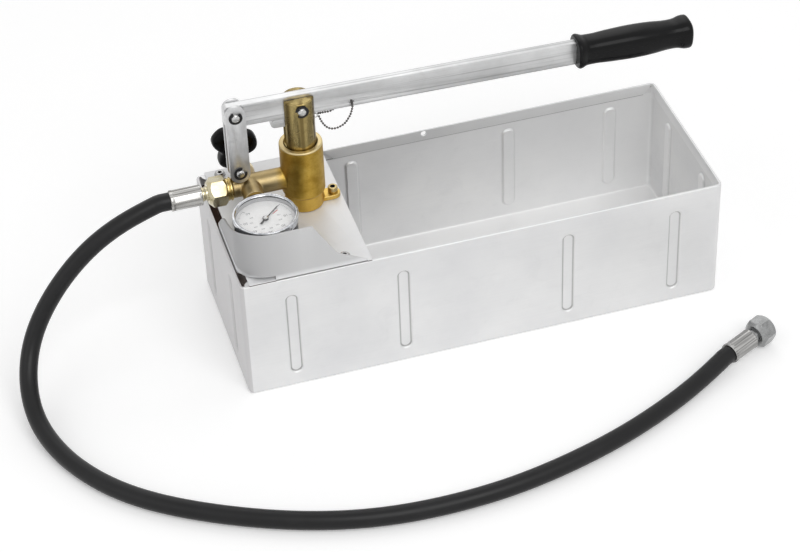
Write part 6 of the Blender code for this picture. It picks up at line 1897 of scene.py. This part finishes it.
def make_nut(name, node, matrix, look, body):
    """A hexagon union nut along Z: its mouth at nought, and a tapered shoulder over its lip."""
    corner, limit = NUT_HEX / sqrt(3), NUT_HEX / 2
    blank = prism(name, hexagon(NUT_HEX, NUT_TURN), 0, NUT_LENGTH)
    bevel(blank, NUT_EDGE)
    shoulder = NUT_LENGTH - NUT_SHOULDER
    turned = lathe("turned", [
        (0, -GAP), (limit - GAP, -GAP), (limit - GAP, 0), (corner + GAP, NUT_CHAMFER),
        (corner + GAP, shoulder),
        (NUT_LIP_RADIUS, NUT_LENGTH), (NUT_LIP_RADIUS, NUT_LENGTH + GAP), (0, NUT_LENGTH + GAP),
    ], 128, 0.0)
    carve(blank, [turned], "INTERSECT")
    cavity = NUT_LENGTH - NUT_LIP
    bore = lathe("bore", [
        (0, -NUT_LENGTH), (SPIGOT_RADIUS + 5 * GAP, -NUT_LENGTH), (SPIGOT_RADIUS + 5 * GAP, 0),
        (SPIGOT_RADIUS + GAP, 4 * GAP), (SPIGOT_RADIUS + GAP, cavity),
        (TAIL_NECK + GAP, cavity), (TAIL_NECK + GAP, 2 * NUT_LENGTH), (0, 2 * NUT_LENGTH),
    ], 72, 0.0)
    carve(blank, [bore])
    return dress(move(blank, matrix), look, body, (node,), 30.0)


def make_tail(name, node, matrix, look):
    cavity = NUT_LENGTH - NUT_LIP
    start = cavity - GAP - TAIL_FLANGE_LENGTH
    neck_end = NUT_LENGTH + TAIL_NECK_LENGTH
    end = neck_end + FERRULE_LENGTH - 2 * FERRULE_RIM
    groove = NUT_LENGTH + TAIL_NECK_LENGTH / 2
    tail = lathe(name, [
        (TAIL_BORE, start), (TAIL_FLANGE - GAP, start), (TAIL_FLANGE, start + GAP),
        (TAIL_FLANGE, cavity - GAP),
        (TAIL_NECK, cavity - GAP), (TAIL_NECK, groove - 3 * GAP), (TAIL_NECK - 2 * GAP, groove - GAP),
        (TAIL_NECK - 2 * GAP, groove + GAP), (TAIL_NECK, groove + 3 * GAP), (TAIL_NECK, neck_end - GAP),
        (TAIL_SPIGOT, neck_end - GAP), (TAIL_SPIGOT, end), (TAIL_BORE, end),
    ], 64, 0.0002)
    return dress(move(tail, matrix), look, "base", (node,))


def make_ferrule(name, node, matrix, look):
    """A crimped sleeve: ten pressed flats with soft ridges between them, and a round rim at each end."""
    start = NUT_LENGTH + TAIL_NECK_LENGTH
    rim = FERRULE_RIM
    sides = 24 * FERRULE_FLATS
    flat = cos(pi / FERRULE_FLATS)
    near = [
        (2.2, 0.0, 0.0), (0.7, 0.15, 0.0), (0.2, 0.6, 0.0), (0.2, 1.4, 0.0), (0.3, 2.0, 0.4),
        (0.3, 2.8, 1.0),
    ]
    far = [
        (0.3, 4.6, 1.0), (0.3, 3.6, 0.5), (0.1, 2.8, 0.0), (0.0, 1.2, 0.0), (0.2, 0.4, 0.0),
        (0.8, 0.0, 0.0),
    ]
    profile = [(FERRULE_RADIUS - less * rim, up * rim, pressed) for less, up, pressed in near]
    for less, down, pressed in far:
        profile.append((FERRULE_RADIUS - less * rim, FERRULE_LENGTH - down * rim, pressed))
    mouth, bore = HOSE_RADIUS + GAP / 2, TAIL_SPIGOT + GAP
    profile += [(mouth, FERRULE_LENGTH, 0.0), (mouth, FERRULE_LENGTH - rim, 0.0)]
    profile += [(bore, FERRULE_LENGTH - rim, 0.0), (bore, 0.0, 0.0)]
    rings = []
    for radius, height, pressed in profile:
        ring = []
        for k in range(sides):
            angle = 2 * pi * k / sides
            within = (k % 24 - 12) / 24 * 2 * pi / FERRULE_FLATS
            straight = min(1.0, (flat + (1 - flat) * 0.25) / cos(within))
            reach = radius * (1 - pressed + pressed * straight)
            ring.append((*polar(reach, angle), start + height))
        rings.append(ring)
    sleeve = loft(name, rings, closed=True)
    return dress(move(sleeve, matrix), look, "base", (node,), 28.0)


def make_fittings():
    at = ARM_AT
    neck = ARM_REACH + NECK_LENGTH
    collar = neck + GAP
    spigot = collar + COLLAR_LENGTH
    half = COLLAR_LENGTH / 2
    nipple = place(lathe("union_nipple", [
        (PORT_RADIUS, neck - SOCKET_DEPTH + GAP), (SOCKET_RADIUS - GAP, neck - SOCKET_DEPTH + GAP),
        (SOCKET_RADIUS - GAP, collar), (COLLAR_RADIUS - 3 * GAP, collar), (COLLAR_RADIUS, collar + 3 * GAP),
        (COLLAR_RADIUS, collar + half - 3 * GAP), (COLLAR_RADIUS - 4 * GAP, collar + half - GAP),
        (COLLAR_RADIUS - 4 * GAP, collar + half + GAP), (COLLAR_RADIUS - GAP, collar + half + 3 * GAP),
        (COLLAR_RADIUS - GAP, spigot - 2 * GAP), (COLLAR_RADIUS - 3 * GAP, spigot),
        (SPIGOT_RADIUS, spigot), (SPIGOT_RADIUS, spigot + SPIGOT_LENGTH),
        (PORT_RADIUS, spigot + SPIGOT_LENGTH),
    ], 80, 0.0002), at, "-x")
    dress(nipple, "turned", "base", ("outlet_nipple",))
    near = Matrix.Translation((PUMP_X - spigot - GAP, PUMP_Y, ARM_Z)) @ facing("-x")
    toward = far_way()
    centre = Vector((FAR_NUT_X, FAR_NUT_Y, FAR_NUT_HEIGHT))
    basis = Matrix((Vector((-toward.y, toward.x, 0)), Vector((0, 0, -1)), -toward)).transposed().to_4x4()
    flat = Matrix.Rotation(radians(FAR_NUT_TURN - NUT_TURN), 4, "Z")
    far = Matrix.Translation(centre + toward * (NUT_LENGTH / 2)) @ basis @ flat
    make_nut("union_hexagon", "union_nut", near, "nut", "near_nut")
    make_tail("hose_barb", "hose_tail", near, "nut")
    return [
        make_ferrule("crimped_sleeve", "hose_ferrule", near, "crimp"),
        make_ferrule("crimped_sleeve_far", "hose_ferrule_far", far, "crimp_far"),
        make_tail("hose_barb_far", "hose_tail_far", far, "nut_steel"),
        make_nut("swivel_hexagon", "swivel_nut", far, "nut_steel", "far_nut"),
    ]


def make_seal():
    inner, outer = PISTON_RADIUS + GAP / 2, BORE_RADIUS + SEAL_DEPTH - GAP
    high = BODY_HEIGHT - SEAL_BELOW_TOP
    low = high - SEAL_HEIGHT
    middle = (low + high) / 2
    ring = lathe("lip_seal", [
        (inner, low + GAP), (outer, low), (outer, high), (inner + 4 * GAP, high - GAP),
        (inner + 3 * GAP, middle),
        (inner, middle - GAP),
    ], 96, 0.0004)
    dress(place(ring, BODY_AT), "seal", "base", ("piston_seal",), 40.0)


def make_suction():
    axis = (PUMP_X, PUMP_Y, 0)
    under = PLATE_BASE - GAP
    flange_low = under - SUCTION_FLANGE_HEIGHT
    body_low = flange_low - SUCTION_BODY_HEIGHT
    thread_top = BODY_BASE + SUCTION_SOCKET_DEPTH - GAP
    chamber_top = body_low + SEAT_HEIGHT + BALL_CHAMBER_HEIGHT
    fitting = lathe("valve_barrel", [
        (PORT_RADIUS, thread_top), (SUCTION_THREAD, thread_top), (SUCTION_THREAD, under),
        (SUCTION_FLANGE - 2 * GAP, under), (SUCTION_FLANGE - 2 * GAP, flange_low),
        (SUCTION_BODY, flange_low),
        (SUCTION_BODY, body_low), (BALL_CHAMBER, body_low), (BALL_CHAMBER, chamber_top),
        (PORT_RADIUS, chamber_top + PORT_RADIUS),
    ], 72, 0.0005)
    dress(place(fitting, axis), "turned", "base", ("suction_fitting",))
    seat_top = body_low + SEAT_HEIGHT
    barb_low = body_low - GAP - BARB_LENGTH
    plug = BALL_CHAMBER - GAP
    profile = [
        (PORT_RADIUS, seat_top - PORT_RADIUS / 2), (SEAT_MOUTH, seat_top), (plug, seat_top),
        (plug, body_low - GAP), (BARB_RADIUS, body_low - GAP),
    ]
    for k in range(4):
        step = BARB_LENGTH / 4
        profile += [
            (BARB_RADIUS, body_low - GAP - k * step - step / 4),
            (BARB_RADIUS - 2 * GAP, body_low - GAP - (k + 1) * step),
        ]
    profile += [(PORT_RADIUS, barb_low)]
    seat = place(lathe("valve_seat", profile, 56, 0.0001), axis)
    dress(seat, "turned", "base", ("suction_seat",))
    rise = sqrt(BALL_RADIUS**2 - SEAT_MOUTH**2)
    centre = seat_top + rise + GAP
    half_round = arc((0, centre), BALL_RADIUS, -84, 84, 24)
    ball = lathe("steel_ball", [(0, centre - BALL_RADIUS), *half_round, (0, centre + BALL_RADIUS)], 48, 0.0)
    dress(place(ball, axis), "bright", "ball", ("suction_ball",), 60.0)
    tube_top = body_low - 2 * GAP
    strainer_low = SHEET + STRAINER_OFF_FLOOR
    tube_low = strainer_low + STRAINER_WALL + STRAINER_HEIGHT / 2
    bore = TUBE_RADIUS - TUBE_WALL
    tube = lathe(
        "dip_tube", [(bore, tube_low), (TUBE_RADIUS, tube_low), (TUBE_RADIUS, tube_top), (bore, tube_top)],
        56, 0.0005,
    )
    dress(place(tube, axis), "grey", "base", ("suction_tube",))
    top = strainer_low + STRAINER_HEIGHT
    grip_radius = TUBE_RADIUS + GAP
    wall = STRAINER_WALL
    basket = lathe("strainer_basket", [
        (0, strainer_low), (STRAINER_RADIUS, strainer_low), (STRAINER_RADIUS, top - wall),
        (grip_radius + wall, top), (grip_radius, top), (grip_radius, top - 2 * wall),
        (STRAINER_RADIUS - wall, top - 3 * wall), (STRAINER_RADIUS - wall, strainer_low + wall),
        (0, strainer_low + wall),
    ], 72, 0.0004)
    slots = []
    for k in range(STRAINER_SLOTS // 2):
        slot = link_box(
            (-2 * STRAINER_RADIUS, -STRAINER_SLOT_WIDTH / 2, strainer_low + 2 * wall),
            (2 * STRAINER_RADIUS, STRAINER_SLOT_WIDTH / 2, top - 5 * wall),
        )
        slots.append(move(slot, Matrix.Rotation(pi * k / (STRAINER_SLOTS // 2), 4, "Z")))
    dress(place(carve(basket, slots), axis), "grey", "base", ("strainer",))


def make_stem():
    """The gauge's threaded stem with its spanner square."""
    boss_face = GAUGE_FROM_PUMP - GAUGE_BOSS_REACH
    thread_end = boss_face + SOCKET_DEPTH - GAP
    square = GAUGE_RADIUS + GAP
    thread = lathe("thread", [
        (PORT_RADIUS, square - 3 * GAP), (STEM_NECK, square - 3 * GAP), (STEM_NECK, square + GAP),
        (STEM_THREAD, square + GAP),
        (STEM_THREAD, thread_end - GAP), (STEM_THREAD - GAP, thread_end), (PORT_RADIUS, thread_end),
    ], 48, 0.0001)
    half = STEM_SQUARE / 2
    flat = link_box((-half, -half, square), (half, half, boss_face - GAP))
    bevel(flat, STEM_EDGE)
    carve(flat, [rod(STEM_THREAD - GAP, 0, 2 * thread_end)])
    stem = place(merge("stem_square", [thread, flat]), (CROSS_X, GAUGE_Y, ARM_Z), "y")
    dress(stem, "turned", "base", ("gauge_stem",))


def make_pieces():
    make_tank()
    make_plate()
    make_body()
    make_piston()
    make_linkage()
    make_lever()
    make_lock()
    make_screws()
    make_gauge()
    make_stem()
    make_valve()
    make_seal()
    make_suction()


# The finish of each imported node; clips and screws go by their names
node_looks = {
    "sheet": "tank", "plate": "cover_plate", "cast": "pump_body", "piston": "piston", "seal": "piston_seal",
    "bar": "lever lock_bar", "plastic": "grip", "knob": "valve_knob", "link": "link_front link_rear",
    "chrome": "gauge_case gauge_bezel", "dial": "gauge_dial", "needle": "gauge_needle",
    "lens": "gauge_lens",
    "turned": "gauge_stem valve_bonnet outlet_nipple hose_tail suction_fitting suction_seat",
    "nut": "union_nut", "nut_steel": "hose_tail_far swivel_nut", "grey": "suction_tube strainer",
    "bright": "valve_spindle hose_ferrule hose_ferrule_far lock_ring suction_ball"
              " piston_pin link_pin_top link_pin_foot",
}


def dress_nodes():
    """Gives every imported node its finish."""
    own = {node: look for look, nodes in node_looks.items() for node in nodes.split()}
    for name, obj in frame["nodes"].items():
        look = own.get(name, "clip" if name.startswith("clip_") else "screw")
        obj.data.materials.clear()
        obj.data.materials.append(looks[look])


studio()
camera()
dress_nodes()
make_hose(make_fittings())
make_chain()
make_pieces()
